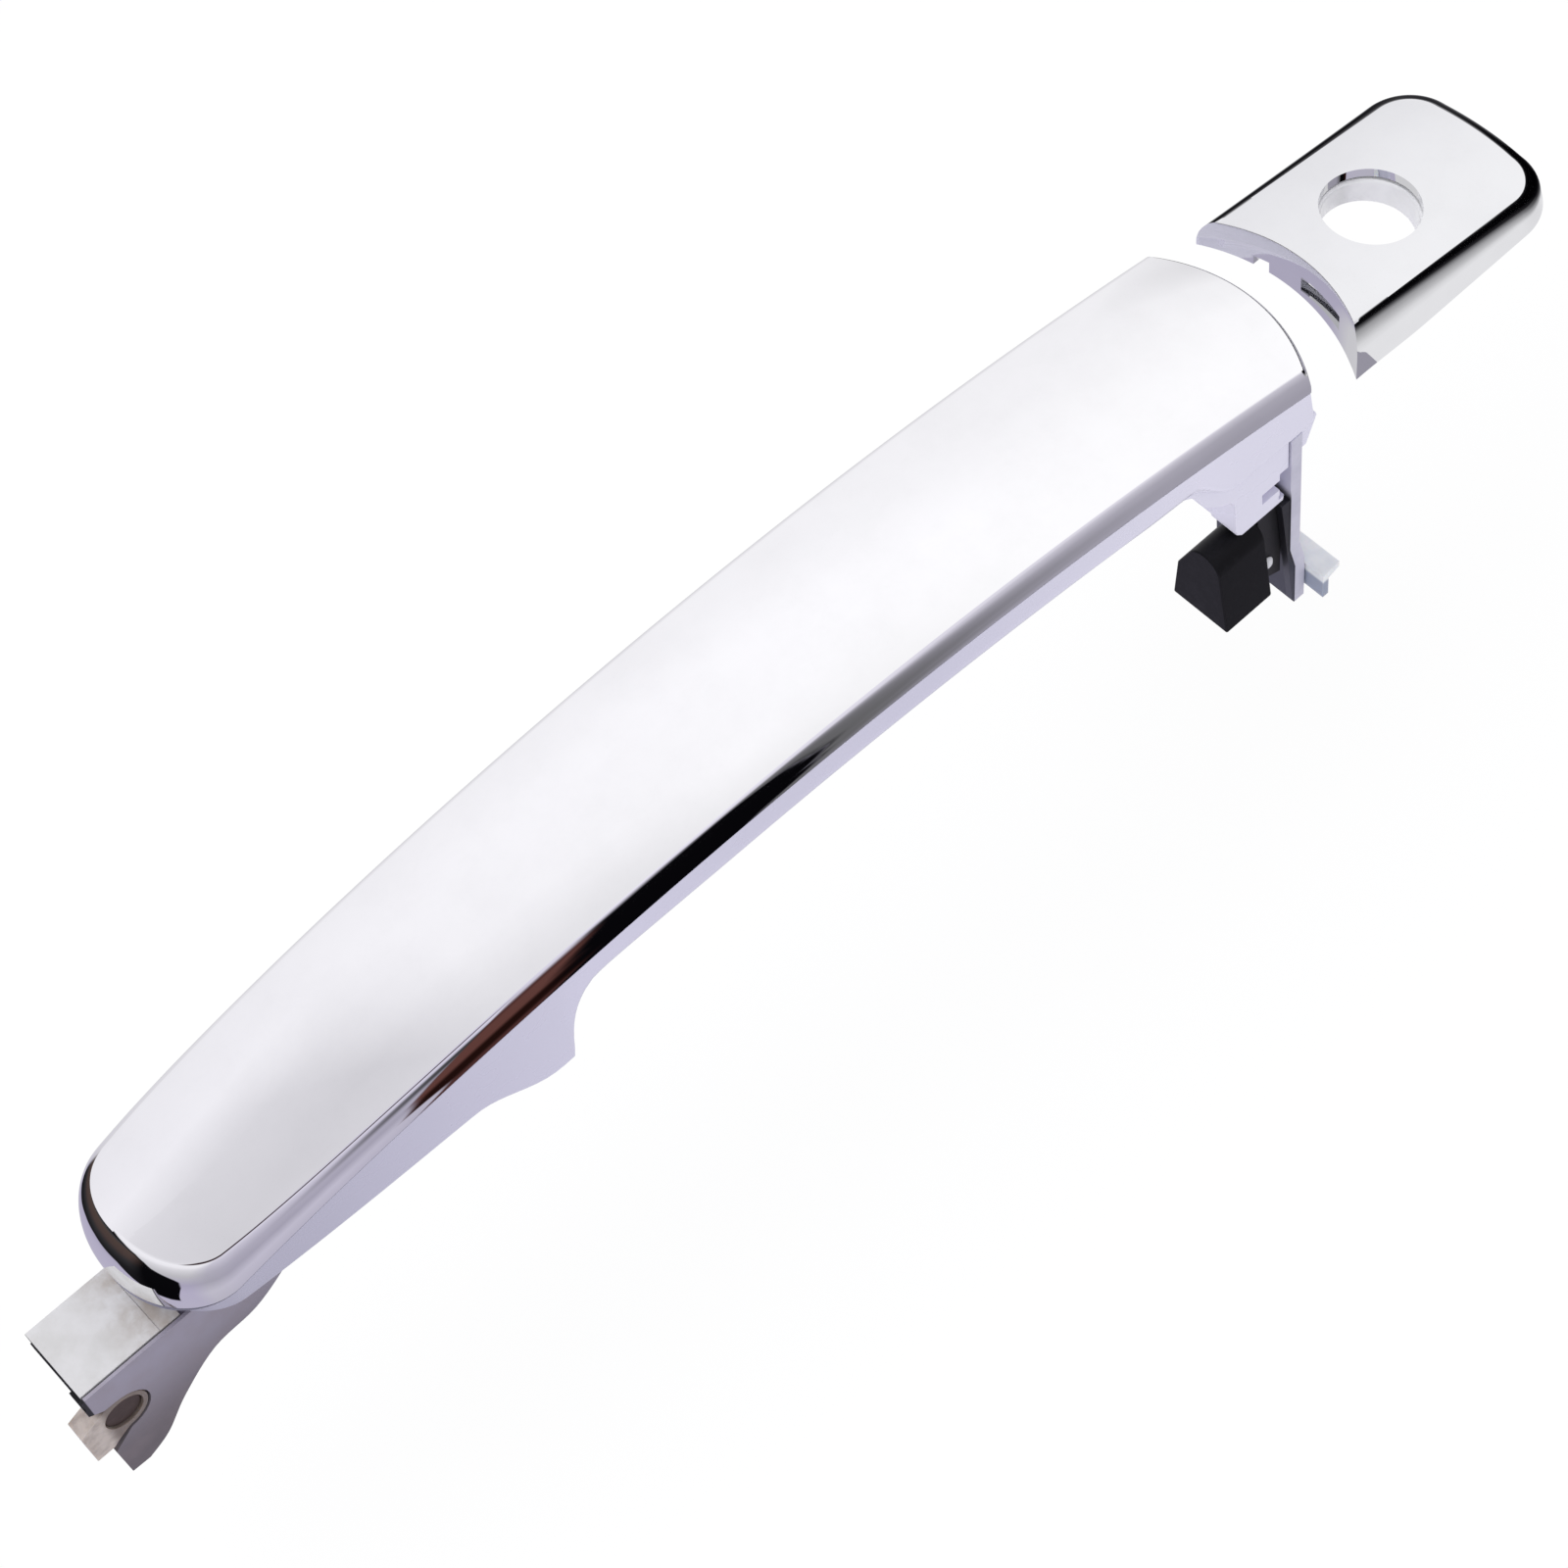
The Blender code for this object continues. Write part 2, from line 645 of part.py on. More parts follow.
def make_rear_leg():
    back = LEG_X + LEG_THICKNESS
    shoulder = REAR_PAD_Z - 0.4 - GAP
    side = [(LEG_X, 6.2), (back, 6.2), (back, -30.0), (back + LEG_JOG, -36.0), (back + LEG_JOG, LEG_BOTTOM_Z)]
    side += [(LEG_X + LEG_JOG, LEG_BOTTOM_Z), (LEG_X + LEG_JOG, -36.5), (LEG_X, -30.5)]
    leg = plate("rear_leg", side, "Y", LEG_NEAR_Y, LEG_FAR_Y)
    for y in (-9.0 - 10.0, 9.0):
        cut(leg, box("leg_shoulder", (LEG_X - 1, y, shoulder), (back + 1, y + 10.0, 8.0), CUTTERS))
    add(leg, box("leg_flange", (211.8, -8.6, 3.9), (back - 0.7, 8.6, 6.6), CUTTERS))
    add(leg, box("leg_tab", (BUMPER_X[1] + 0.4, -8.6, -38.0), (LEG_X + 1, -6.6, -24.0), CUTTERS))
    relief = [(2.0, -50.0), (2.0, -14.0), (LEG_FAR_Y + 1, -6.0), (LEG_FAR_Y + 1, -50.0)]
    cut(leg, plate("leg_far_relief", relief, "X", LEG_X - 1, back + 3, CUTTERS))
    rib = [(217.2, -15.8), (219.7, -15.8), (219.7, -30.4), (221.0, -36.4), (221.0, -46), (220.2, -46), (217.8, -21)]
    add(leg, plate("leg_rib", rib, "Y", LEG_NEAR_Y + 0.1, WEB_NEAR_Y - GAP, CUTTERS))
    for y in (-LEG_SCREW_Y, LEG_SCREW_Y):
        cut(leg, rod("leg_screw_hole", "Z", (LEG_SCREW_X, y), 1.7, 0, 9, CUTTERS, 24))
    cut(leg, rod("leg_foot_hole", "X", (FOOT_PEG_Y, FOOT_PEG_Z), 2.0, LEG_X, back + 3, CUTTERS, 24))
    cut(leg, rod("leg_rivet_hole", "Y", (RIVET_X, RIVET_Z), 1.1, -10, -5, CUTTERS, 24))
    return finish(leg, CAST_LEG, GRIP)


def make_hook_foot():
    front = LEG_X + LEG_THICKNESS + LEG_JOG + GAP
    web = front + 1.3
    back = front + FOOT_DEPTH
    side = [(front, -44.4), (web, -44.4), (web, -39.9), (back, -39.1), (back, -37.6), (front, -38.4)]
    foot = plate("hook_foot", side, "Y", FOOT_NEAR_Y, FOOT_FAR_Y)
    add(foot, rod("foot_peg", "X", (FOOT_PEG_Y, FOOT_PEG_Z), 1.7, LEG_X + LEG_JOG, front + 1, CUTTERS, 24))
    return finish(foot, NYLON_WHITE, GRIP)


def bumper_outline():
    """The rubber block's section: flat at the bottom, its round crest nearer the handle's near side."""
    crest = arc(-12.6, -21.0, 3.5, 30, 175, 12)
    return [(-17.7, BUMPER_BOTTOM_Z), (-5.4, BUMPER_BOTTOM_Z), (-6.5, -25.3), *crest]


def make_bumper():
    bumper = plate("rubber_bumper", bumper_outline(), "X", *BUMPER_X)
    cut(bumper, rod("bumper_bore", "X", (BUMPER_BORE_Y, BUMPER_BORE_Z), 2.6, 206, 217, CUTTERS, 32))
    return finish(bumper, BLACK_RUBBER, GRIP)


def make_bumper_holder():
    start = BUMPER_X[1] + GAP
    web = [(start, -16.3), (LEG_X - GAP, -16.3), (LEG_X - GAP, -37.6), (216.4, -36.6), (start, -34.0)]
    holder = plate("bumper_holder", web, "Y", WEB_NEAR_Y, WEB_FAR_Y)
    add(holder, box("holder_roof", (209.0, -14.0, -17.0), (218.6, WEB_FAR_Y + 0.6, -15.5), CUTTERS))
    add(holder, rod("holder_peg", "X", (BUMPER_BORE_Y, BUMPER_BORE_Z), 2.3, 206.6, start + 1, CUTTERS, 32))
    cut(holder, rod("holder_rivet_hole", "Y", (RIVET_X, RIVET_Z), 1.1, -15, -8, CUTTERS, 24))
    return finish(holder, BLACK_PLASTIC, GRIP)


def make_rivet():
    shank = 0.8
    reach = -6.3 - WEB_NEAR_Y
    profile = [(0, 0.8), (0.8, 0.7), (1.25, 0.3), (1.35, 0), (shank, 0)]
    profile += [(shank, -reach), (1.35, -reach), (1.2, -reach - 0.6), (0, -reach - 0.8)]
    rivet = turned("leg_rivet", profile, (RIVET_X, WEB_NEAR_Y - 0.15, RIVET_Z))
    rivet.rotation_euler = (math.pi / 2, 0, 0)
    return finish(rivet, PALE_PLASTIC, GRIP)


# The key cap's pieces


def cap_top_z(x, y):
    return CAP_TOP_Z - CAP_SLOPE * (x - 233) + CAP_CROWN * (1 - (y / CAP_HALF_FRONT) ** 2)


def cap_half_width(x):
    return CAP_HALF_FRONT + (CAP_HALF_BACK - CAP_HALF_FRONT) * (x - 232) / (CAP_END_X - 232)


def cap_front_x(y):
    return CAP_FRONT_X - CAP_FRONT_RADIUS + math.sqrt(CAP_FRONT_RADIUS**2 - y**2)


def cap_end_x(y):
    return CAP_END_X - CAP_END_RADIUS + math.sqrt(CAP_END_RADIUS**2 - y**2)


def cap_outline():
    """One half of the plan, concave end to far end, as (x, y, x of its centre-line point)."""
    front_corner = CAP_HALF_FRONT
    half = []
    for i in range(10):
        y = front_corner * i / 9
        half.append((cap_front_x(y), y, 242.0 + 3.0 * i / 9))
    start = cap_front_x(front_corner)
    side_end = 271.5
    for i in range(1, 9):
        x = start + (side_end - start) * i / 8
        half.append((x, cap_half_width(x), 245.0 + (266.0 - 245.0) * i / 8))
    corner_y = cap_half_width(side_end)
    for i in range(1, 9):
        turn = math.radians(90 * i / 8)
        y = corner_y - CAP_CORNER * (1 - math.cos(turn))
        x = side_end + (cap_end_x(corner_y - CAP_CORNER) - side_end) * math.sin(turn)
        half.append((x, y, 266.0 + 0.25 * i))
    for i in range(1, 6):
        y = (corner_y - CAP_CORNER) * (1 - i / 5)
        half.append((cap_end_x(y), y, 268.0 + 0.2 * i))
    return half


def make_cap_shell():
    def edge(point):
        x, y, _ = point
        if x < cap_front_x(CAP_HALF_FRONT) + 1.0 or x < cap_front_x(y) + 0.01:
            return 0.4
        return 3.0

    def ring(depth_of, height_of, share=0.0):
        """height_of gives the share of the way up from the base to the top face."""

        def place(point):
            px, py = inset(point, depth_of(point), share)
            low, high = CAP_BASE_Z, cap_top_z(px, py)
            return px, py, low + (high - low) * height_of(point)

        return place

    outer = [ring(lambda p: -0.5 if edge(p) > 1 else 0.0, lambda p: 0.0)]
    for i in range(6):
        turn = math.radians(18 * i)
        outer.append(
            ring(lambda p, t=turn: edge(p) * (1 - math.cos(t)), lambda p, t=turn: 0.5 + 0.5 * math.sin(t))
        )
    outer += [ring(edge, lambda p: 1.0, share) for share in (0.35, 0.7, 1.0)]

    def inside_ring(depth, drop, share=0.0):
        def place(point):
            px, py = inset(point, depth, share)
            return px, py, cap_top_z(px, py) - drop

        return place

    def base_ring(point):
        px, py = inset(point, CAP_WALL)
        return px, py, CAP_BASE_Z

    inner = [inside_ring(CAP_WALL + 2.2, CAP_WALL, share) for share in (1.0, 0.7, 0.35, 0.0)]
    inner += [inside_ring(CAP_WALL + 0.6, CAP_WALL + 1.0), inside_ring(CAP_WALL, CAP_WALL + 2.6), base_ring]
    cap = shell("cap_shell", cap_outline(), outer, inner)
    for y in (-CAP_SCREW_Y, CAP_SCREW_Y):
        high = cap_top_z(CAP_SCREW_X, y)
        add(cap, rod("cap_post", "Z", (CAP_SCREW_X, y), 2.8, FRAME_TOP_Z + GAP, high - 0.9, CUTTERS, 24))
        cut(cap, rod("cap_post_hole", "Z", (CAP_SCREW_X, y), 1.6, FRAME_TOP_Z, high - 2.0, CUTTERS, 24))
    cut(cap, rod("key_hole", "Z", (KEY_HOLE_X, 0), KEY_HOLE_RADIUS, 0, 25, CUTTERS, 64))
    wedge = [(-15.0, 3.5), (-15.0, CAP_BASE_Z - 0.1), (19.0, CAP_BASE_Z + 4.6), (19.0, 3.5)]
    cut(cap, plate("cap_end_wall_relief", wedge, "X", 228, 240.8, CUTTERS))
    cut(cap, box("cap_notch", (228, 5.8, 0), (244, 8.6, 10.2), CUTTERS))
    cut(cap, box("cap_window", (228, -10.4, 8.2), (240, -0.6, 11.6), CUTTERS))
    return finish(cap, CHROME, CAP)


def make_cap_inner_frame():
    near = [(242.2, -14.0), (270.5, -13.4), (275.2, -7.5)]
    frame = plate("cap_inner_frame", near + [(x, -y) for x, y in reversed(near)], "Z", FRAME_BASE_Z, FRAME_TOP_Z)
    wall = [(242.3, -7.6), (242.3, 7.6), (243.5, 7.6), (243.5, -7.6)]
    add(frame, plate("frame_front_wall", wall, "Z", FRAME_BASE_Z + 0.3, 12.2, CUTTERS))
    for y in (-12.4, 12.4):
        add(frame, box("frame_rail", (255.0, y - 0.7, FRAME_BASE_Z + 0.3), (264.0, y + 0.7, 9.8), CUTTERS))
    cut(frame, rod("frame_key_hole", "Z", (KEY_HOLE_X, 0), 10.6, 0, 20, CUTTERS, 48))
    for y in (-CAP_SCREW_Y, CAP_SCREW_Y):
        cut(frame, rod("frame_screw_hole", "Z", (CAP_SCREW_X, y), 1.7, 0, 20, CUTTERS, 24))
    return finish(frame, PALE_PLASTIC, CAP)


def make_key_collar():
    tilt = math.atan(CAP_SLOPE)
    profile = [(8.3, 0), (9.9, 0), (9.9, -1.3), (8.9, -1.8), (8.9, -4.6), (7.9, -4.6), (7.9, -0.6)]
    collar = turned("cap_key_collar", profile, (KEY_HOLE_X, 0, cap_top_z(KEY_HOLE_X, 0) - CAP_WALL - 0.75), tilt, 48)
    return finish(collar, CHROME, CAP)


def build():
    make_outer_cover()
    make_inner_half()
    make_core_bar()
    make_hinge_arm()
    make_tongue()
    make_hinge_bush()
    make_hinge_pin()
    make_rear_leg()
    make_hook_foot()
    make_bumper()
    make_bumper_holder()
    make_rivet()
    for name, x in zip(("arm_screw_front", "arm_screw_rear"), ARM_SCREW_XS):
        make_screw(name, (x, 0), screw_seat_z(x) + 0.05, screw_seat_z(x) - 3.6, GRIP)
    for name, y in (("leg_screw_near", -LEG_SCREW_Y), ("leg_screw_far", LEG_SCREW_Y)):
        make_screw(name, (LEG_SCREW_X, y), screw_seat_z(LEG_SCREW_X) + 0.05, screw_seat_z(LEG_SCREW_X) - 3.4, GRIP)
    make_screw("cover_screw_front", (COVER_SCREW_FRONT_X, 0), 5.35, 11.0, GRIP, -1.0)
    make_screw("cover_screw_rear", (COVER_SCREW_REAR_X, 0), -8.05, 23.5, GRIP, -1.0)
    make_cap_shell()
    make_cap_inner_frame()
    make_key_collar()
    for name, y in (("cap_screw_near", -CAP_SCREW_Y), ("cap_screw_far", CAP_SCREW_Y)):
        make_screw(name, (CAP_SCREW_X, y), FRAME_BASE_Z - 0.05, 4.8, CAP, -1.0, 2.4)


build()
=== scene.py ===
"""Looks of the car door handle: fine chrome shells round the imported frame, materials, studio and camera.

Lengths are in millimetres, and MM turns them into metres. Shapes are written in the handle's own frame:
X runs from the nose to the lock end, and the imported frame's origin, the middle of the tongue, is at
X = -SHIFT.
"""

import math

import bmesh
import bpy
from mathutils import Matrix, Vector


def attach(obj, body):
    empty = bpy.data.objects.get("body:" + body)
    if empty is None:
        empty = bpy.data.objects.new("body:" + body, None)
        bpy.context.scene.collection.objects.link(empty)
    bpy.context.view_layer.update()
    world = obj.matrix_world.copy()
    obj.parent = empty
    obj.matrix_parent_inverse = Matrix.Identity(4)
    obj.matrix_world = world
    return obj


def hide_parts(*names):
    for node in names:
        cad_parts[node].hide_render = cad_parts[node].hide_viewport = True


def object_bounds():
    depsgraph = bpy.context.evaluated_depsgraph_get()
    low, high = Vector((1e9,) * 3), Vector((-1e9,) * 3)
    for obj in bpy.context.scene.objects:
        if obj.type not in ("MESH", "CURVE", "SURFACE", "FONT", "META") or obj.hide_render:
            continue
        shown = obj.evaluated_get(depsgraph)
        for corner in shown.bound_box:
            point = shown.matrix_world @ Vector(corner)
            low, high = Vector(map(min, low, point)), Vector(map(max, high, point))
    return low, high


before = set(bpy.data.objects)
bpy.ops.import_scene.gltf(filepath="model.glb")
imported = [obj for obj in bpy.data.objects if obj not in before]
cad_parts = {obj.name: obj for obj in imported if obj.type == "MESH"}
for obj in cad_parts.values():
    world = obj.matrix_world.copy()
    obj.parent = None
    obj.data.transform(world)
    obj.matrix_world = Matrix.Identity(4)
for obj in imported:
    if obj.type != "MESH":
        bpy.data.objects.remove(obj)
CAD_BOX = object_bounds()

MM = 0.001
SHIFT = 8.2

# Plan and side view of the grip, as in the CAD
NOSE_X = -1.4
NOSE_LENGTH = 11.0
NOSE_POWER = 2.1
NOSE_SKEW = 0.1
LOCK_END_X = 226.9
LOCK_END_RADIUS = 31.1
CORNER_X = 221.1
MIDDLE_X = 115.0
ARCH_RADIUS = 561.7
ARCH_TOP_Z = 27.1
CROWN = 1.5
COVER_WALL = 1.8
COVER_FOOT = 0.5
LOCK_END_EDGE = 1.4
GRIP_DEPTH = 13.7
FRONT_PAD_Z = 3.6
FRONT_PAD_END_X = 52
REAR_PAD_Z = 1.0
REAR_SLOPE = (196, 207)
LIP_SLOPE_END_X = 66
LIP_X = 69.4
LIP_Z = -2.1
INNER_WALL = 2.1
INNER_FLOOR = 2.0
INNER_SEAT = 0.1
GAP = 0.3

# Openings and bosses of the inner half
COVER_SCREW_FRONT_X = 50.0
COVER_SCREW_REAR_X = 209.0
LEG_X = 219.2
LEG_THICKNESS = 2.4
LEG_JOG = 1.3

# Key cap
CAP_FRONT_X = 237.3
CAP_FRONT_RADIUS = 32.0
CAP_END_X = 281.2
CAP_END_RADIUS = 80.0
CAP_HALF_FRONT = 17.4
CAP_HALF_BACK = 17.0
CAP_CORNER = 9.0
CAP_SIDE_START_X = 232
CAP_SIDE_END_X = 271.5
CAP_BASE_Z = 5.0
CAP_TOP_Z = 15.2
CAP_SLOPE = math.tan(math.radians(7.0))
CAP_CROWN = 1.1
CAP_WALL = 1.8
CAP_HOLLOW_X = 228
KEY_HOLE_X = 253.8
KEY_HOLE_RADIUS = 8.3

# Fineness of the lofts
NOSE_STEPS = 44
SIDE_STEP = 1.6
LOCK_END_STEPS = 30
EDGE_STEPS = 14
SECTION_STEPS = 28
CAP_FRONT_STEPS = 30
CAP_SIDE_STEPS = 24
CAP_CORNER_STEPS = 24
CAP_END_STEPS = 10
BEVEL_SEGMENTS = 3


# Mesh helpers


def at(x, y, z):
    """A point of the handle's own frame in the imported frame, in metres."""
    return Vector(((x + SHIFT) * MM, y * MM, z * MM))


def blend(x, start, end):
    """0 before start, 1 after end, and a smooth step between them."""
    t = min(max((x - start) / (end - start), 0.0), 1.0)
    return t * t * (3 - 2 * t)


def new_object(name, bm):
    bmesh.ops.recalc_face_normals(bm, faces=bm.faces)
    mesh = bpy.data.meshes.new(name)
    bm.to_mesh(mesh)
    bm.free()
    obj = bpy.data.objects.new(name, mesh)
    bpy.context.scene.collection.objects.link(obj)
    return obj


def bake_modifiers(obj):
    """Replace an object's mesh with the one that its modifiers make."""
    bpy.context.view_layer.update()
    graph = bpy.context.evaluated_depsgraph_get()
    mesh = bpy.data.meshes.new_from_object(obj.evaluated_get(graph))
    obj.modifiers.clear()
    obj.data = mesh
    return obj


def combine(obj, other, operation):
    """Add or cut with another solid, which is then removed."""
    modifier = obj.modifiers.new(operation, "BOOLEAN")
    modifier.operation = operation
    modifier.solver = "MANIFOLD"
    modifier.object = other
    bake_modifiers(obj)
    bpy.data.objects.remove(other, do_unlink=True)
    return obj


def box(low, high):
    bm = bmesh.new()
    bmesh.ops.create_cube(bm, size=1.0)
    size = Vector(high) - Vector(low)
    centre = (Vector(high) + Vector(low)) / 2
    bmesh.ops.scale(bm, vec=size * MM, verts=bm.verts)
    bmesh.ops.translate(bm, vec=at(*centre), verts=bm.verts)
    return new_object("tool_box", bm)


def rod_z(x, radius, low, high, steps=64):
    """An upright rod in the handle's middle plane."""
    bm = bmesh.new()
    size, depth = radius * MM, (high - low) * MM
    bmesh.ops.create_cone(
        bm, cap_ends=True, segments=steps, radius1=size, radius2=size, depth=depth
    )
    bmesh.ops.translate(bm, vec=at(x, 0, (high + low) / 2), verts=bm.verts)
    return new_object("tool_rod", bm)


def slab(outlines):
    """The solid between two copies of one outline, given as (x, y, z) points."""
    bm = bmesh.new()
    ends = [[bm.verts.new(at(*point)) for point in outline] for outline in outlines]
    for end in ends:
        bm.faces.new(end)
    near, far = ends
    for i in range(len(near)):
        j = (i + 1) % len(near)
        bm.faces.new((near[i], near[j], far[j], far[i]))
    return new_object("tool_slab", bm)


def slab_x(outline, low, high):
    """A (y, z) outline extruded along the handle from x low to x high."""
    return slab([(x, y, z) for y, z in outline] for x in (low, high))


def slab_y(outline, low, high, bevel):
    """An (x, z) outline extruded across the handle from y low to y high, with rounded edges."""
    obj = slab([(x, y, z) for x, z in outline] for y in (low, high))
    round_edges(obj, bevel, 50)
    return bake_modifiers(obj)


def round_edges(obj, width, angle):
    modifier = obj.modifiers.new("edges", "BEVEL")
    modifier.width = width * MM
    modifier.segments = BEVEL_SEGMENTS
    modifier.limit_method = "ANGLE"
    modifier.angle_limit = math.radians(angle)


def smooth(obj, angle, weighted=False):
    """Smooth shading between the sharp edges. Weighted normals keep the large flat faces flat."""
    obj.data.shade_smooth()
    obj.data.set_sharp_from_angle(angle=math.radians(angle))
    if weighted:
        modifier = obj.modifiers.new("normals", "WEIGHTED_NORMAL")
        modifier.keep_sharp = True
        modifier.weight = 80
    return obj


def smooth_path(points, steps):
    """A Catmull-Rom curve through the points."""

    def value(a, b, c, d, t):
        square = 2 * a - 5 * b + 4 * c - d
        cube = 3 * b - a - 3 * c + d
        return 0.5 * (2 * b + (c - a) * t + square * t**2 + cube * t**3)

    path = []
    ends = [points[0], *points, points[-1]]
    for around in zip(ends, ends[1:], ends[2:], ends[3:]):
        for i in range(steps):
            path.append(tuple(value(*axis, i / steps) for axis in zip(*around)))
    return [*path, points[-1]]


def spread(start, end, steps):
    """Even steps from start to end, without start itself."""
    return [start + (end - start) * i / steps for i in range(1, steps + 1)]


# Lofts


def insets(half, depth_between):
    """How far each point of a half outline moves in, so that each side moves in by its own depth.

    The outline is symmetric about the X axis, and depth_between gives a side's depth from its two ends.
    """
    before_first = (half[1][0], -half[1][1])
    after_last = (half[-2][0], -half[-2][1])
    path = [before_first, *half, after_last]
    moves = []
    for before, point, after in zip(path, path[1:], path[2:]):
        sides = []
        for start, end in ((before, point), (point, after)):
            run = Vector((end[0] - start[0], end[1] - start[1])).normalized()
            sides.append((Vector((run.y, -run.x)), depth_between(start, end)))
        (first, first_depth), (second, second_depth) = sides
        turn = first.x * second.y - first.y * second.x
        if abs(turn) < 0.3:
            moves.append((first + second).normalized() * (first_depth + second_depth) / 2)
        else:
            x = (first_depth * second.y - second_depth * first.y) / turn
            y = (first.x * second_depth - second.x * first_depth) / turn
            moves.append(Vector((x, y)))
    return moves


def draw_in(moves, half, rows, end_x, depth):
    """Moves the points of an end along its curve, in step with its corner, so that no ring folds."""
    corner = max((half[i][1], i) for i in rows)[1]
    narrowing = moves[corner].y / half[corner][1]
    for i in rows:
        x, y = half[i]
        moved = y * (1 + narrowing)
        moves[i] = Vector((end_x(moved) + depth - x, moved - y))
    return moves


def draw_along(moves, half, corner, last):
    """Moves the points of a side along it, in step with the corner that it starts from."""
    length = half[last][0] - half[corner][0]
    for i in range(corner + 1, last):
        left = (half[last][0] - half[i][0]) / length
        moves[i] = Vector((moves[i].x + moves[corner].x * left, moves[i].y))
    return moves


class Loft:
    """A hollow body grown from outer and inner rings round a half outline, mirrored about X."""

    def __init__(self, half, warp):
        self.bm = bmesh.new()
        self.half = half
        self.warp = warp
        self.last = None
        self.firsts = []

    def vertex(self, x, y, z):
        px, py = self.warp(x, y)
        return self.bm.verts.new(at(px, py, z))

    def ring(self, place):
        """Add a ring. place gives the (x, y, z) of a half outline's point by its number."""
        upper = [place(i) for i in range(len(self.half))]
        loop = upper + [(x, -y, z) for x, y, z in reversed(upper[1:-1])]
        ring = [self.vertex(*point) for point in loop]
        if self.last:
            self.join(self.last, ring)
        else:
            self.firsts.append(ring)
        self.last = ring
        return upper

    def join(self, one, other):
        count = len(one)
        for i in range(count):
            j = (i + 1) % count
            self.bm.faces.new((one[i], one[j], other[j], other[i]))

    def fill(self, upper, height, steps):
        """Close the last ring with straight sections across it, whose height is height(x, y)."""
        count = len(self.half)
        ring = self.last
        rows = []
        for i in range(count):
            if i in (0, count - 1):
                rows.append([ring[i]])
                continue
            x, y, _ = upper[i]
            row = [ring[i]]
            for k in range(1, steps):
                across = y * (1 - 2 * k / steps)
                row.append(self.vertex(x, across, height(x, across)))
            row.append(ring[2 * count - 2 - i])
            rows.append(row)
        for one, other in zip(rows, rows[1:]):
            for k in range(steps):
                quad = [one[min(k, len(one) - 1)], one[min(k + 1, len(one) - 1)]]
                quad += [other[min(k + 1, len(other) - 1)], other[min(k, len(other) - 1)]]
                corners = [v for n, v in enumerate(quad) if v not in quad[:n]]
                self.bm.faces.new(corners)

    def fill_to_centres(self, upper, centres, height, steps):
        """Close the last ring with rings that shrink onto centres on X, one for each point."""
        for k in range(1, steps + 1):
            share = k / steps

            def place(i, share=share):
                x = upper[i][0] + (centres[i] - upper[i][0]) * share
                y = upper[i][1] * (1 - share)
                return x, y, height(x, y)

            self.ring(place)

    def start_inside(self):
        """The next ring is the first of the inner ones."""
        self.last = None

    def close(self, name):
        self.join(*self.firsts)
        bmesh.ops.remove_doubles(self.bm, verts=self.bm.verts, dist=4e-6)
        bmesh.ops.dissolve_degenerate(self.bm, edges=self.bm.edges, dist=2e-6)
        return new_object(name, self.bm)


# The grip's form


def arch_z(x):
    return ARCH_TOP_Z - ARCH_RADIUS + math.sqrt(ARCH_RADIUS**2 - (x - MIDDLE_X) ** 2)


def half_width(x):
    """A little wider towards the lock end, and drawn in towards the nose."""
    return 17.1 + 0.0087 * (x - MIDDLE_X) - 1.95 * math.exp(-x / 20)


def top_z(x, y):
    return arch_z(x) + CROWN * (1 - (y / half_width(x)) ** 2)


def cover_depth(x):
    return 3.9 + 4.6 * math.exp(-(x - NOSE_X) / 14)


def cover_edge(x):
    return 2.0 + 2.2 * math.exp(-(x - NOSE_X) / 12)


def underside_z(x):
    grip = arch_z(x) - GRIP_DEPTH
    if x < LIP_X:
        lip = blend(x, FRONT_PAD_END_X, LIP_SLOPE_END_X)
        return FRONT_PAD_Z + (LIP_Z - FRONT_PAD_Z) * lip
    if x < REAR_SLOPE[0]:
        return grip - (grip - LIP_Z) * math.exp(-(((x - LIP_X) / 1.7) ** 0.9))
    return grip + (REAR_PAD_Z - grip) * blend(x, *REAR_SLOPE)


def floor_z(x):
    return max(underside_z(x + step) for step in (-2.4, -1.2, 0, 1.2, 2.4)) + INNER_FLOOR


def in_grip(x):
    """1 along the finger recess and 0 beyond its ends."""
    return blend(x, 67, 80) * (1 - blend(x, 194, 207))


def grip_half():
    """One half of the grip's plan, nose to lock end."""
    half = []
    for i in range(NOSE_STEPS + 1):
        turn = math.pi / 2 * i / NOSE_STEPS
        x = NOSE_X + NOSE_LENGTH * (1 - max(math.cos(turn), 0.0) ** (2 / NOSE_POWER))
        half.append((x, half_width(x) * math.sin(turn) ** (2 / NOSE_POWER)))
    x = NOSE_X + NOSE_LENGTH
    while x < CORNER_X - 1.5 * SIDE_STEP:
        x += 0.4 if LIP_X - 2 < x < LIP_X + 5 else SIDE_STEP
        half.append((x, half_width(x)))
    for x in (CORNER_X - 0.9, CORNER_X - 0.6):
        half.append((x, half_width(x)))
    corner_turn = math.asin(half_width(CORNER_X) / LOCK_END_RADIUS)
    for i in range(LOCK_END_STEPS + 1):
        turn = corner_turn * (1 - i / LOCK_END_STEPS)
        x = LOCK_END_X - LOCK_END_RADIUS * (1 - math.cos(turn))
        half.append((x, LOCK_END_RADIUS * math.sin(turn)))
    return half


def skewed(x, y):
    return x - NOSE_SKEW * y * (1 - blend(x, 2, 40)), y


def lock_end_x(y):
    return LOCK_END_X - LOCK_END_RADIUS + math.sqrt(LOCK_END_RADIUS**2 - y**2)


def at_lock_end(start, end):
    return min(start[0], end[0]) > CORNER_X - 0.01


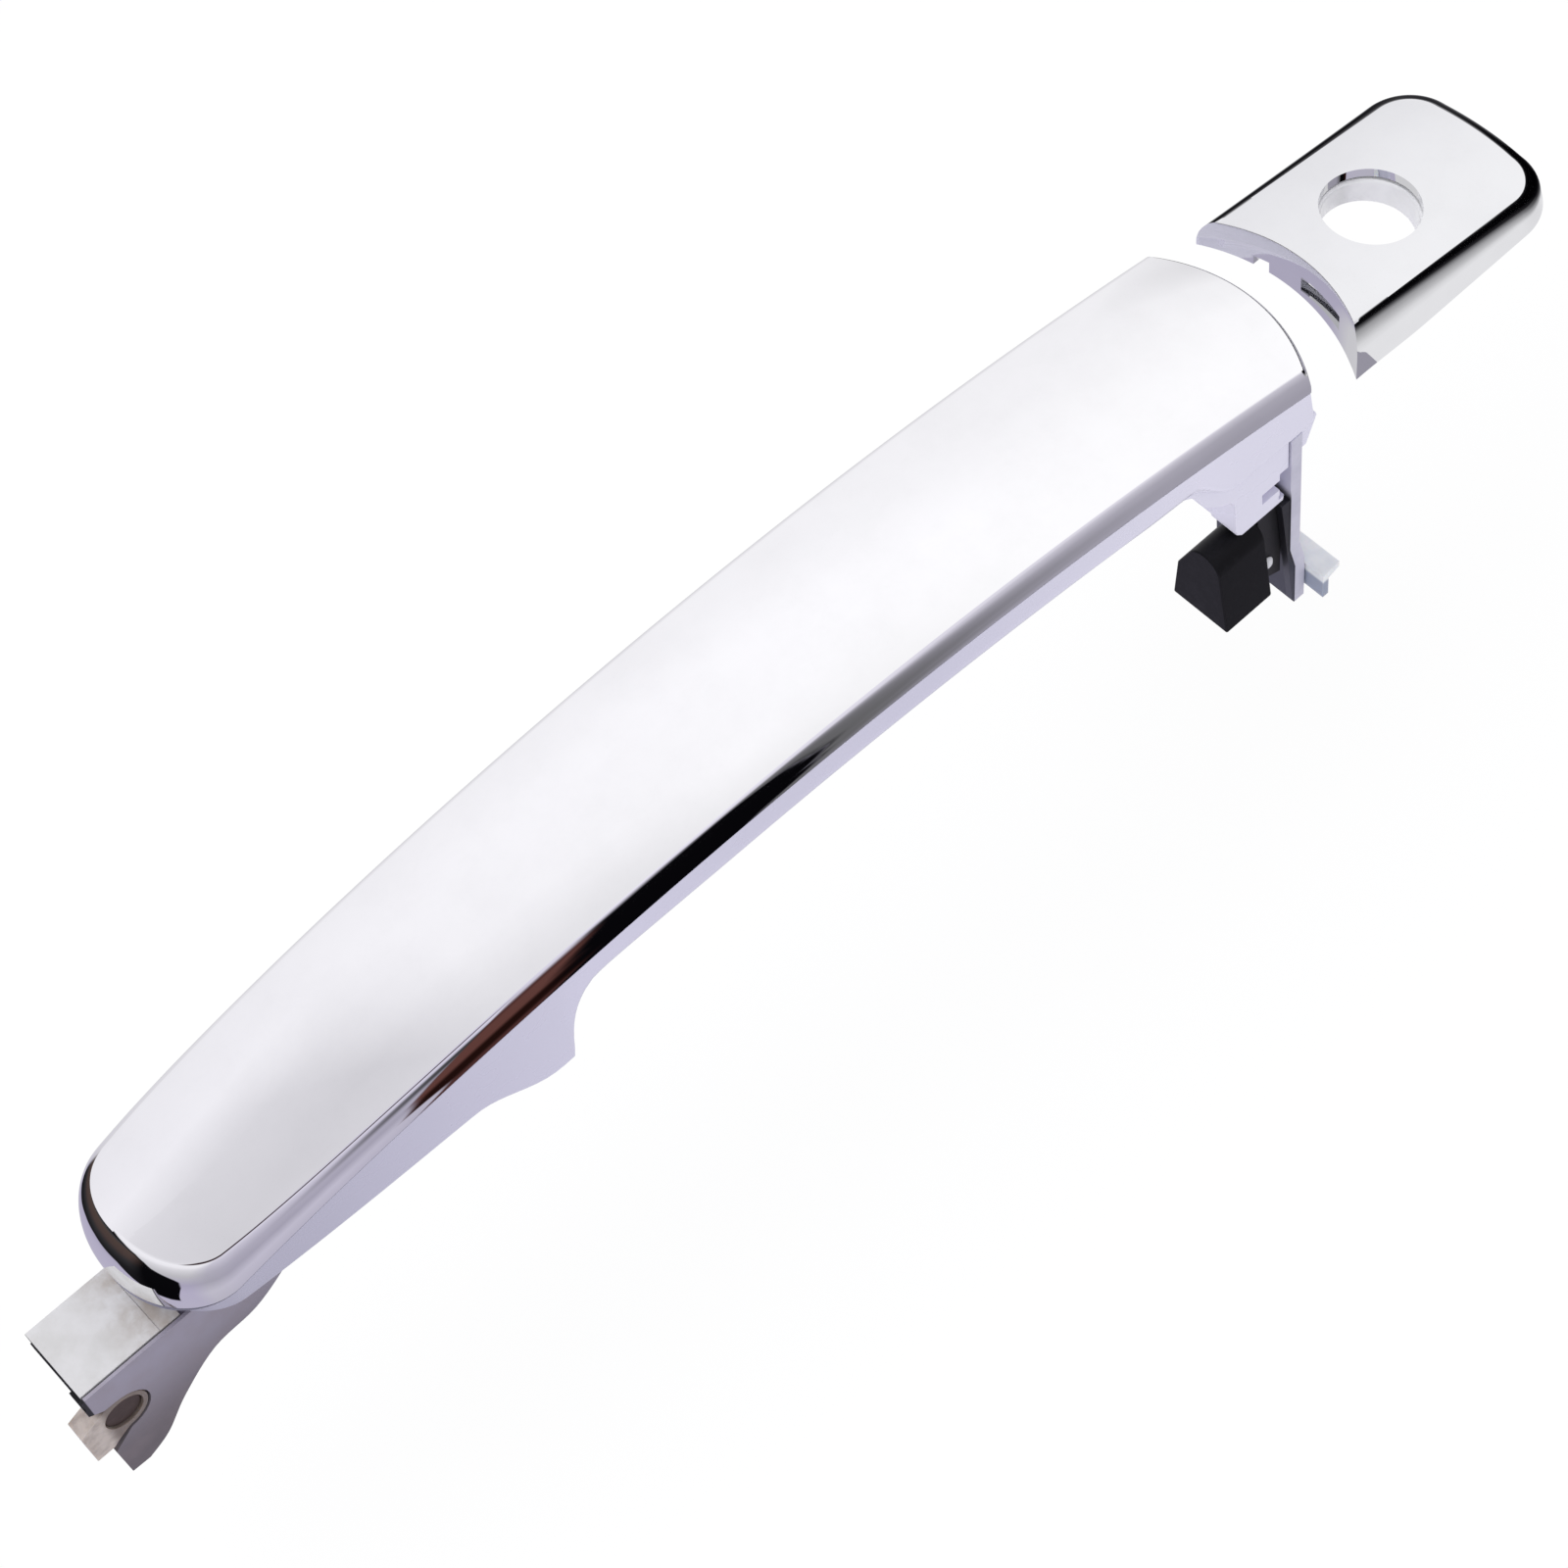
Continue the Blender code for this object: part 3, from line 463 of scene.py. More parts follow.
def set_top_normals(obj, height):
    """Give the top face its form's own normals, so that reflections run clean to every edge."""
    mesh = obj.data
    normals = [tuple(corner.vector) for corner in mesh.corner_normals]
    for polygon in mesh.polygons:
        if polygon.normal.z < 0.9:
            continue
        points = [mesh.vertices[vertex].co / MM for vertex in polygon.vertices]
        if any(point.z < height(point.x - SHIFT, point.y) - 0.03 for point in points):
            continue
        for loop, point in zip(polygon.loop_indices, points):
            x, y = point.x - SHIFT, point.y
            slope_x = height(x + 0.1, y) - height(x - 0.1, y)
            slope_y = height(x, y + 0.1) - height(x, y - 0.1)
            normals[loop] = tuple(Vector((-slope_x * 5, -slope_y * 5, 1)).normalized())
    mesh.normals_split_custom_set(normals)


def make_outer_cover():
    half = grip_half()

    def edge(start, end):
        return LOCK_END_EDGE if at_lock_end(start, end) else cover_edge((start[0] + end[0]) / 2)

    lock_end = range(len(half) - LOCK_END_STEPS - 1, len(half))
    moves = draw_in(insets(half, edge), half, lock_end, lock_end_x, -LOCK_END_EDGE)
    walls = insets(half, lambda start, end: COVER_WALL)
    walls = draw_in(walls, half, lock_end, lock_end_x, -COVER_WALL)
    loft = Loft(half, skewed)

    def rim(i):
        x, y = half[i]
        return x, y, top_z(x, y) - cover_depth(x)

    def edge_ring(turn):
        def place(i):
            x, y = half[i]
            px, py = x + moves[i].x * (1 - math.cos(turn)), y + moves[i].y * (1 - math.cos(turn))
            return px, py, top_z(px, py) - (cover_depth(x) - COVER_FOOT) * (1 - math.sin(turn))

        return place

    def inside(share):
        def place(i):
            x, y = half[i]
            px = x + walls[i].x + moves[i].x * share
            py = y + walls[i].y + moves[i].y * share
            return px, py, top_z(x, y) - cover_depth(x) * (1 - share) - COVER_WALL * share

        return place

    loft.ring(rim)
    for k in range(EDGE_STEPS + 1):
        upper = loft.ring(edge_ring(math.pi / 2 * k / EDGE_STEPS))
    loft.fill(upper, top_z, SECTION_STEPS)
    loft.start_inside()
    loft.ring(inside(0.0))
    upper = loft.ring(inside(1.0))
    loft.fill(upper, lambda x, y: top_z(x, y) - COVER_WALL, 6)
    cover = smooth(loft.close("grip_cover_chrome"), 40)
    set_top_normals(cover, top_z)
    return cover


def make_inner_half():
    half = grip_half()

    def rim_z(x):
        return arch_z(x) - cover_depth(x) - GAP

    def draft(x):
        return 1.2 - 0.9 * blend(x, 45, 105) * (1 - blend(x, 185, 212))

    def lean(x):
        return 3.0 * blend(x, CORNER_X - 4, CORNER_X + 1)

    def round_depth(x):
        return 1.5 + 3.5 * in_grip(x)

    def round_height(x):
        return min(1.5 + 4.5 * in_grip(x), 0.5 * (rim_z(x) - underside_z(x)))

    lock_end = range(len(half) - LOCK_END_STEPS - 1, len(half))
    unit = insets(half, lambda start, end: 1.0)
    unit = draw_in(unit, half, lock_end, lock_end_x, -1.0)
    loft = Loft(half, skewed)

    def side_ring(share):
        def place(i):
            x, y = half[i]
            depth = INNER_SEAT + draft(x) * share
            px, py = x + unit[i].x * depth, y + unit[i].y * depth
            low = underside_z(px) + round_height(x)
            return px + lean(x) * share, py, rim_z(x) + (low - rim_z(x)) * share

        return place

    def round_ring(turn):
        def place(i):
            x, y = half[i]
            depth = INNER_SEAT + draft(x) + round_depth(x) * (1 - math.cos(turn))
            px, py = x + unit[i].x * depth + lean(x), max(y + unit[i].y * depth, 0.0)
            return px, py, underside_z(px) + round_height(x) * (1 - math.sin(turn))

        return place

    def inside(depth, height):
        def place(i):
            x, y = half[i]
            px, py = x + unit[i].x * depth, max(y + unit[i].y * depth, 0.0)
            return px, py, height(x, px)

        return place

    for k in range(7):
        loft.ring(side_ring(k / 6))
    for k in range(1, 9):
        upper = loft.ring(round_ring(math.pi / 2 * k / 8))
    loft.fill(upper, lambda x, y: underside_z(x), 10)
    loft.start_inside()
    loft.ring(inside(INNER_WALL, lambda x, px: rim_z(x)))
    upper = loft.ring(inside(INNER_WALL + 0.9, lambda x, px: min(floor_z(px), rim_z(x) - 0.5)))
    loft.fill(upper, lambda x, y: min(floor_z(x), rim_z(x) - 0.5), 6)
    inner = loft.close("grip_inner_chrome")

    fillet = [(195.5, 8.4), (198, 6.3), (200.2, 1.8), (203.5, -1.6), (206.6, -4.4), (207.0, -12.5)]
    boss = [*smooth_path(fillet, 10), (218.6, -12.5), (219.4, -4.4), (222.9, -4.4)]
    boss += [(225.2, 1.2), (224.9, 2.1), (209, 2.1), (204.5, 3.8), (200, 7.3)]
    combine(inner, slab_y(boss, -15.6, 12.4, 0.5), "UNION")
    near_wall = [(207.2, -11), (207.6, -14.2), (208.6, -15.2), (218.2, -15.2), (218.9, -11)]
    combine(inner, slab_y(near_wall, -15.4, -9.4, 0.3), "UNION")
    combine(inner, rod_z(COVER_SCREW_FRONT_X, 4.6, 4.2, 7.2), "UNION")
    combine(inner, box((5.6, -7.6, 0), (36.5, 7.6, 9.0)), "DIFFERENCE")
    slot = (LEG_X - GAP, -9.3, -8.0), (LEG_X + LEG_THICKNESS + GAP + 0.2, 9.4, 7.4)
    combine(inner, box(*slot), "DIFFERENCE")
    behind = (LEG_X - GAP, -17, -16), (LEG_X + LEG_THICKNESS + GAP, 14, REAR_PAD_Z - 0.4)
    combine(inner, box(*behind), "DIFFERENCE")
    for corner in (((213, -17, -11), (220, -12.5, -8.4)), ((217, -17, -14), (220, -12.5, -6.7))):
        combine(inner, box(*corner), "DIFFERENCE")
    for x, seat, start in ((COVER_SCREW_FRONT_X, 5.4, 0.0), (COVER_SCREW_REAR_X, -8.0, -17.0)):
        combine(inner, rod_z(x, 3.3, start, seat, 48), "DIFFERENCE")
        combine(inner, rod_z(x, 1.8, seat - 1, 9.0, 32), "DIFFERENCE")
    return smooth(inner, 32, weighted=True)


# The key cap


def cap_top_z(x, y):
    return CAP_TOP_Z - CAP_SLOPE * (x - 233) + CAP_CROWN * (1 - (y / CAP_HALF_FRONT) ** 2)


def cap_half_width(x):
    along = (x - CAP_SIDE_START_X) / (CAP_END_X - CAP_SIDE_START_X)
    return CAP_HALF_FRONT + (CAP_HALF_BACK - CAP_HALF_FRONT) * along


def cap_front_x(y):
    return CAP_FRONT_X - CAP_FRONT_RADIUS + math.sqrt(CAP_FRONT_RADIUS**2 - y**2)


def cap_end_x(y):
    return CAP_END_X - CAP_END_RADIUS + math.sqrt(CAP_END_RADIUS**2 - y**2)


def cap_half():
    """One half of the cap's plan, from the middle of its hollow end to the middle of its far end."""
    half = [(cap_front_x(y), y) for y in (0.0, *spread(0, CAP_HALF_FRONT, CAP_FRONT_STEPS))]
    for x in spread(cap_front_x(CAP_HALF_FRONT), CAP_SIDE_END_X, CAP_SIDE_STEPS):
        half.append((x, cap_half_width(x)))
    side_y = cap_half_width(CAP_SIDE_END_X)
    end_y = side_y - CAP_CORNER
    for turn in spread(0, math.pi / 2, CAP_CORNER_STEPS):
        x = CAP_SIDE_END_X + (cap_end_x(end_y) - CAP_SIDE_END_X) * math.sin(turn)
        half.append((x, side_y - CAP_CORNER * (1 - math.cos(turn))))
    return half + [(cap_end_x(y), y) for y in spread(end_y, 0, CAP_END_STEPS)]


def make_cap_shell():
    half = cap_half()
    centres = [242, *spread(242, 245, CAP_FRONT_STEPS), *spread(245, 266, CAP_SIDE_STEPS)]
    centres += [*spread(266, 268, CAP_CORNER_STEPS), *spread(268, 269, CAP_END_STEPS)]

    def edge(start, end):
        """A sharp edge along the hollow end and a broad one elsewhere."""
        middle = Vector(((start[0] + end[0]) / 2, abs(start[1] + end[1]) / 2))
        return 0.4 if abs(middle.x - cap_front_x(middle.y)) < 0.05 else 3.0

    def moves_of(depth_between, front_depth):
        moves = insets(half, depth_between)
        moves = draw_in(moves, half, range(CAP_FRONT_STEPS + 1), cap_front_x, front_depth)
        return draw_along(moves, half, CAP_FRONT_STEPS, CAP_FRONT_STEPS + CAP_SIDE_STEPS)

    moves = moves_of(edge, 0.4)
    unit = moves_of(lambda start, end: 1.0, 1.0)
    loft = Loft(half, lambda x, y: (x, y))

    def foot(i):
        x, y = half[i]
        flare = 0.5 * blend(i, CAP_FRONT_STEPS, CAP_FRONT_STEPS + 10)
        return x - unit[i].x * flare, y - unit[i].y * flare, CAP_BASE_Z

    def edge_ring(turn):
        def place(i):
            x, y = half[i]
            px = x + moves[i].x * (1 - math.cos(turn))
            py = max(y + moves[i].y * (1 - math.cos(turn)), 0.0)
            rise = 0.5 + 0.5 * math.sin(turn)
            return px, py, CAP_BASE_Z + (cap_top_z(px, py) - CAP_BASE_Z) * rise

        return place

    def inside(depth, height):
        def place(i):
            x, y = half[i]
            px, py = x + unit[i].x * depth, max(y + unit[i].y * depth, 0.0)
            return px, py, height(px, py)

        return place

    loft.ring(foot)
    for k in range(EDGE_STEPS + 1):
        upper = loft.ring(edge_ring(math.pi / 2 * k / EDGE_STEPS))
    loft.fill_to_centres(upper, centres, cap_top_z, 10)
    loft.start_inside()
    loft.ring(inside(CAP_WALL, lambda x, y: CAP_BASE_Z))
    loft.ring(inside(CAP_WALL, lambda x, y: cap_top_z(x, y) - CAP_WALL - 2.6))
    upper = loft.ring(inside(CAP_WALL + 2.2, lambda x, y: cap_top_z(x, y) - CAP_WALL))
    loft.fill_to_centres(upper, centres, lambda x, y: cap_top_z(x, y) - CAP_WALL, 4)
    cap = loft.close("cap_chrome")
    combine(cap, rod_z(KEY_HOLE_X, KEY_HOLE_RADIUS, 0, 25, 96), "DIFFERENCE")
    wedge = [(-15.0, 3.5), (-15.0, CAP_BASE_Z - 0.1), (19.0, CAP_BASE_Z + 4.6), (19.0, 3.5)]
    combine(cap, slab_x(wedge, CAP_HOLLOW_X, 240.8), "DIFFERENCE")
    notch = (CAP_HOLLOW_X, 5.8, 0), (244, 8.6, 10.2)
    combine(cap, box(*notch), "DIFFERENCE")
    window = (CAP_HOLLOW_X, -10.4, 8.2), (240, -0.6, 11.6)
    combine(cap, box(*window), "DIFFERENCE")
    smooth(cap, 40)
    set_top_normals(cap, cap_top_z)
    return cap


def refined(node, bevel):
    """A copy of a CAD node with its flat faces made whole and its edges rounded."""
    bm = bmesh.new()
    bm.from_mesh(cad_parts[node].data)
    bmesh.ops.remove_doubles(bm, verts=bm.verts, dist=2e-6)
    flat = math.radians(0.6)
    bmesh.ops.dissolve_limit(bm, angle_limit=flat, verts=bm.verts, edges=bm.edges)
    obj = new_object(node + "_fine", bm)
    round_edges(obj, bevel, 35)
    bake_modifiers(obj)
    return smooth(obj, 35, weighted=True)


# Materials


class Nodes:
    """A node tree with short calls for the few nodes that the looks need."""

    def __init__(self, tree):
        self.tree = tree
        self.tree.nodes.clear()

    def add(self, kind, **values):
        node = self.tree.nodes.new(kind)
        for key, value in values.items():
            setattr(node, key, value)
        return node

    def feed(self, socket, value):
        if isinstance(value, bpy.types.NodeSocket):
            self.tree.links.new(value, socket)
        elif isinstance(value, (tuple, list)) and len(value) == 3 and len(socket.default_value) == 4:
            socket.default_value = (*value, 1.0)
        else:
            socket.default_value = value

    def math(self, operation, *values):
        node = self.add("ShaderNodeMath", operation=operation)
        for socket, value in zip(node.inputs, values):
            self.feed(socket, value)
        return node.outputs[0]

    def step(self, value, start, end, kind="SMOOTHSTEP"):
        """0 before start and 1 after end."""
        node = self.add("ShaderNodeMapRange", interpolation_type=kind)
        self.feed(node.inputs["Value"], value)
        node.inputs["From Min"].default_value = start
        node.inputs["From Max"].default_value = end
        return node.outputs[0]

    def mix(self, share, first, second):
        node = self.add("ShaderNodeMix", data_type="RGBA")
        self.feed(node.inputs["Factor"], share)
        self.feed(node.inputs["A"], first)
        self.feed(node.inputs["B"], second)
        return node.outputs["Result"]

    def noise(self, scale, detail, roughness=0.5, vector=None):
        node = self.add("ShaderNodeTexNoise")
        node.inputs["Scale"].default_value = scale
        node.inputs["Detail"].default_value = detail
        node.inputs["Roughness"].default_value = roughness
        self.tree.links.new(vector or self.place(), node.inputs["Vector"])
        return node.outputs["Fac"]

    def place(self):
        return self.add("ShaderNodeTexCoord").outputs["Object"]

    def axis(self, name, source=None):
        """One coordinate of the place, in millimetres, or of another vector."""
        node = self.add("ShaderNodeSeparateXYZ")
        self.tree.links.new(source or self.place(), node.inputs[0])
        return node.outputs[name] if source else self.math("MULTIPLY", node.outputs[name], 1 / MM)

    def stretched(self, scale):
        node = self.add("ShaderNodeMapping")
        self.tree.links.new(self.place(), node.inputs["Vector"])
        node.inputs["Scale"].default_value = scale
        return node.outputs[0]

    def bump(self, height, distance):
        node = self.add("ShaderNodeBump")
        self.tree.links.new(height, node.inputs["Height"])
        node.inputs["Distance"].default_value = distance * MM
        node.inputs["Strength"].default_value = 1.0
        return node.outputs[0]

    def background(self, colour, strength=1.0):
        node = self.add("ShaderNodeBackground")
        self.feed(node.inputs["Color"], colour)
        node.inputs["Strength"].default_value = strength
        return node

    def mix_shader(self, share, first, second):
        node = self.add("ShaderNodeMixShader")
        self.feed(node.inputs[0], share)
        self.tree.links.new(first.outputs[0], node.inputs[1])
        self.tree.links.new(second.outputs[0], node.inputs[2])
        return node

    def output(self, shader, kind="ShaderNodeOutputMaterial"):
        self.tree.links.new(shader.outputs[0], self.add(kind).inputs["Surface"])

    def surface(self, **values):
        """A Principled BSDF to the output. Keys are socket names with underscores for spaces."""
        shader = self.add("ShaderNodeBsdfPrincipled")
        for key, value in values.items():
            self.feed(shader.inputs[key.replace("_", " ")], value)
        self.output(shader)


def tone(value, blue):
    """A grey, or a red, green and blue, of an 8-bit screen as linear light. blue cools a grey."""
    values = value if isinstance(value, tuple) else (value, value - blue * 0.3, value + blue)
    return tuple((max(v, 0) / 255) ** 2.2 for v in values)


def start_material(name):
    material = bpy.data.materials.new(name)
    material.use_nodes = True
    return material, Nodes(material.node_tree)


def chrome(name, colour, roughness):
    """Plated plastic: mirror bright, with faint wipe marks and the moulding's slow waves."""
    material, n = start_material(name)
    wipe = n.noise(40.0, 4.0, 0.6, n.stretched((6.0, 60.0, 20.0)))
    haze = n.noise(90.0, 5.0, 0.65)
    rough = n.math("MULTIPLY_ADD", n.step(haze, 0.35, 0.75), 0.015, roughness)
    rough = n.math("MULTIPLY_ADD", n.step(wipe, 0.55, 0.8), 0.02, rough)
    tint = n.mix(n.step(haze, 0.3, 0.8), colour, tuple(c * 0.965 for c in colour))
    waves = n.bump(n.noise(55.0, 1.0), 0.002)
    n.surface(Base_Color=tint, Metallic=1.0, Roughness=rough, Normal=waves)
    return material


def satin_chrome():
    """The inner half: satin plating with faint polishing marks, painted shade towards the nose and painted
    light towards the lock end.
    """
    material, n = start_material("chrome_inner")
    marks = n.noise(90.0, 3.0, 0.6)
    # Painted shade and painted light: the base colour greys towards the nose and pales towards the lock
    # end.
    along = n.step(n.axis("X"), 16.0, 78.0, "LINEAR")
    rear = n.step(n.axis("X"), 150.0, 205.0, "LINEAR")
    tint = n.mix(along, (0.40, 0.39, 0.495), (0.65, 0.635, 0.77))
    tint = n.mix(rear, tint, (0.79, 0.775, 0.90))
    rough = n.math("MULTIPLY_ADD", n.step(marks, 0.3, 0.75), 0.08, 0.24)
    n.surface(Base_Color=tint, Metallic=0.1, Roughness=rough, Specular_IOR_Level=0.2)
    return material


def bright_collar():
    """The key hole's collar: bright satin plating with a little grey haze."""
    material, n = start_material("chrome_collar")
    haze = n.noise(160.0, 3.0, 0.6)
    tint = n.mix(n.step(haze, 0.35, 0.7), (0.93, 0.93, 0.94), (0.84, 0.84, 0.86))
    n.surface(Base_Color=tint, Metallic=0.15, Roughness=n.math("MULTIPLY_ADD", haze, 0.06, 0.28))
    return material


def leg_casting():
    """The leg: pale cast metal, with painted shade that darkens its tab and rib in the lee of the bumper's
    holder.
    """
    material, n = start_material("cast_leg")
    patches = n.noise(150.0, 4.0, 0.6)
    fine = n.noise(2600.0, 3.0, 0.6)
    tint = n.mix(n.step(patches, 0.35, 0.7), (0.66, 0.65, 0.76), (0.58, 0.57, 0.68))
    # Painted shade: the tab and rib in front of the leg's face and below the holder go near black, dark
    # blue-grey lower down.
    jog = n.math("MULTIPLY", n.step(n.axis("Z"), -36.3, -30.3, "LINEAR"), LEG_JOG)
    face_x = LEG_X + LEG_JOG + SHIFT
    in_front = n.step(n.math("ADD", n.axis("X"), jog), face_x + 0.2, face_x + 0.1)
    painted_shade = n.math("MULTIPLY", in_front, n.step(n.axis("Z"), -13.0, -16.0))
    shade_colour = n.mix(n.step(n.axis("Z"), -28.0, -42.0), (0.008, 0.008, 0.012), (0.05, 0.052, 0.075))
    tint = n.mix(painted_shade, tint, shade_colour)
    rough = n.math("MULTIPLY_ADD", patches, 0.18, 0.32)
    n.surface(Base_Color=tint, Metallic=0.2, Roughness=rough, Normal=n.bump(fine, 0.008))
    return material


def arm_casting():
    """The hinge arm: satin cast metal, with painted shade that darkens it towards its lower end and near
    black along its front upper end.
    """
    material, n = start_material("cast_arm")
    patches = n.noise(150.0, 4.0, 0.6)
    fine = n.noise(2600.0, 3.0, 0.6)
    # Painted shade: the arm darkens towards its lower end.
    low = n.step(n.axis("Z"), -2.0, -24.0)
    tint = n.mix(low, (0.40, 0.38, 0.455), (0.165, 0.145, 0.155))
    tint = n.mix(n.math("MULTIPLY", n.step(patches, 0.3, 0.75), 0.35), tint, (0.33, 0.28, 0.30))
    # Painted shade: a near-black band along the arm's front upper end.
    rim = n.math("MULTIPLY", n.step(n.axis("X"), -6.9, -7.1), n.step(n.axis("Z"), -5.6, -5.2))
    tint = n.mix(rim, tint, (0.012, 0.012, 0.014))
    rough = n.math("MULTIPLY_ADD", patches, 0.2, 0.32)
    n.surface(Base_Color=tint, Metallic=0.55, Roughness=rough, Normal=n.bump(fine, 0.012))
    return material


def tongue_plastic():
    """The tongue: matt light grey, brown from stains and painted shade where it meets the grip, and
    painted black as shade across its front end.
    """
    material, n = start_material("tongue_grey")
    cloud = n.noise(160.0, 4.0, 0.6)
    fine = n.noise(3000.0, 3.0, 0.6)
    # Partly real stain and partly painted shade: brown patches that grow towards the grip.
    stain_and_shade = n.math("MULTIPLY", n.step(n.axis("X"), -1.0, 8.5), n.step(cloud, 0.35, 0.7))
    tint = n.mix(n.step(cloud, 0.3, 0.75), (0.66, 0.655, 0.665), (0.57, 0.565, 0.56))
    tint = n.mix(n.math("MULTIPLY", stain_and_shade, 0.75), tint, (0.36, 0.30, 0.25))
    # Painted shade: faces that look towards the nose are painted near black.
    facing = n.axis("X", n.add("ShaderNodeNewGeometry").outputs["Normal"])
    tint = n.mix(n.step(facing, -0.35, -0.75), tint, (0.012, 0.012, 0.014))
    n.surface(Base_Color=tint, Roughness=0.55, Normal=n.bump(fine, 0.01))
    return material


def bush_nylon():
    """The bush: see-through brown nylon, pale in front, with painted shade that makes it deep brown inside
    the arm's slot.
    """
    material, n = start_material("nylon_brown")
    cloud = n.noise(420.0, 3.0, 0.6)
    tint = n.mix(n.step(cloud, 0.35, 0.7), (0.50, 0.44, 0.41), (0.34, 0.29, 0.27))
    # Painted shade: the bush turns deep brown inside the arm's slot.
    inside = n.step(n.axis("X"), -7.6, -5.6)
    tint = n.mix(n.math("MULTIPLY", inside, 0.9), tint, (0.13, 0.10, 0.085))
    n.surface(
        Base_Color=tint,
        Roughness=0.35,
        Subsurface_Weight=0.2,
        Subsurface_Radius=(0.002, 0.0015, 0.001),
        Subsurface_Scale=1.0,
        Normal=n.bump(cloud, 0.01),
    )
    return material


def foot_nylon():
    """The hook foot: white, slightly see-through moulded nylon, with a grey lower edge."""
    material, n = start_material("nylon_white")
    cloud = n.noise(260.0, 3.0, 0.55)
    fine = n.noise(2200.0, 2.0, 0.5)
    tint = n.mix(n.step(cloud, 0.35, 0.7), (0.86, 0.88, 0.90), (0.76, 0.79, 0.83))
    tint = n.mix(n.step(n.axis("Z"), -39.6, -40.6), tint, (0.30, 0.34, 0.44))
    n.surface(
        Base_Color=tint,
        Roughness=0.3,
        Subsurface_Weight=0.25,
        Subsurface_Radius=(0.002, 0.0016, 0.0012),
        Subsurface_Scale=1.0,
        Coat_Weight=0.2,
        Coat_Roughness=0.25,
        Normal=n.bump(fine, 0.006),
    )
    return material


def rubber():
    """The bumper: soft black rubber with a fine matt grain and paler dust."""
    material, n = start_material("black_rubber")
    dust = n.noise(420.0, 5.0, 0.7)
    grain = n.noise(3800.0, 2.0, 0.6)
    tint = n.mix(n.step(dust, 0.5, 0.85), (0.003, 0.003, 0.004), (0.009, 0.009, 0.011))
    rough = n.math("MULTIPLY_ADD", dust, 0.25, 0.42)
    n.surface(Base_Color=tint, Roughness=rough, Specular_IOR_Level=0.22, Normal=n.bump(grain, 0.02))
    return material


def plastic(name, colour, dark, roughness):
    """Moulded plastic with a fine spark-eroded texture."""
    material, n = start_material(name)
    cloud = n.noise(140.0, 4.0, 0.6)
    grain = n.noise(3200.0, 2.0, 0.55)
    tint = n.mix(n.step(cloud, 0.3, 0.75), colour, dark)
    rough = n.math("MULTIPLY_ADD", cloud, 0.15, roughness)
    n.surface(Base_Color=tint, Roughness=rough, Normal=n.bump(grain, 0.015))
    return material


def steel(name, colour, roughness):
    """Turned steel with fine tool marks round it."""
    material, n = start_material(name)
    marks = n.noise(600.0, 3.0, 0.6, n.stretched((1.0, 1.0, 9.0)))
    tint = n.mix(n.step(marks, 0.35, 0.7), colour, tuple(c * 0.8 for c in colour))
    rough = n.math("MULTIPLY_ADD", marks, 0.18, roughness)
    n.surface(Base_Color=tint, Metallic=1.0, Roughness=rough, Normal=n.bump(marks, 0.006))
    return material


def make_materials():
    return {
        "chrome": chrome("chrome", (CHROME_ALBEDO,) * 3, 0.02),
        "chrome_cap": chrome("chrome_cap", (CAP_ALBEDO, 0.825, 0.83), 0.03),
        "chrome_collar": bright_collar(),
        "chrome_inner": satin_chrome(),
        "cast_arm": arm_casting(),
        "cast_leg": leg_casting(),
        "tongue_grey": tongue_plastic(),
        "nylon_brown": bush_nylon(),
        "nylon_white": foot_nylon(),
        "pale_plastic": plastic("pale_plastic", (0.78, 0.78, 0.82), (0.68, 0.68, 0.73), 0.4),
        "black_plastic": plastic(
            "black_plastic", (0.010, 0.010, 0.012), (0.018, 0.017, 0.018), 0.5
        ),
        "black_rubber": rubber(),
        "steel": steel("steel", (0.56, 0.56, 0.57), 0.25),
        "dark_steel": steel("dark_steel", (0.16, 0.12, 0.10), 0.4),
    }


# Studio


# How much of the light each plating mirrors: a tone is divided by it to look right in the mirror
CHROME_ALBEDO = 0.93
CAP_ALBEDO = 0.82


def sky_column(n, height, stops, blue):
    """A ramp over the elevation, in degrees, of tones as an 8-bit screen shows them in the chrome."""
    node = n.add("ShaderNodeValToRGB")
    n.feed(node.inputs["Fac"], height)
    stops = sorted(stops, key=lambda stop: stop[0])
    ramp = node.color_ramp
    while len(ramp.elements) < len(stops):
        ramp.elements.new(0.5)
    for element, (elevation, value, *own_blue) in zip(ramp.elements, stops):
        element.position = (elevation + 90) / 180
        colour = tone(value, own_blue[0] if own_blue else blue)
        element.color = (*(c / CHROME_ALBEDO for c in colour), 1.0)
    return node.outputs["Color"]


def curve(n, value, points):
    """A piecewise linear function as a chain of clamped steps."""
    total = points[0][1]
    for (start, low), (end, high) in zip(points, points[1:]):
        step = n.step(value, start, end, "LINEAR")
        total = n.math("MULTIPLY_ADD", step, high - low, total)
    return total


def between(n, value, edges):
    """1 between the two middle edges and 0 outside the two outer ones."""
    out, low, high, past = edges
    return n.math("MULTIPLY", n.step(value, out, low), n.step(value, past, high))


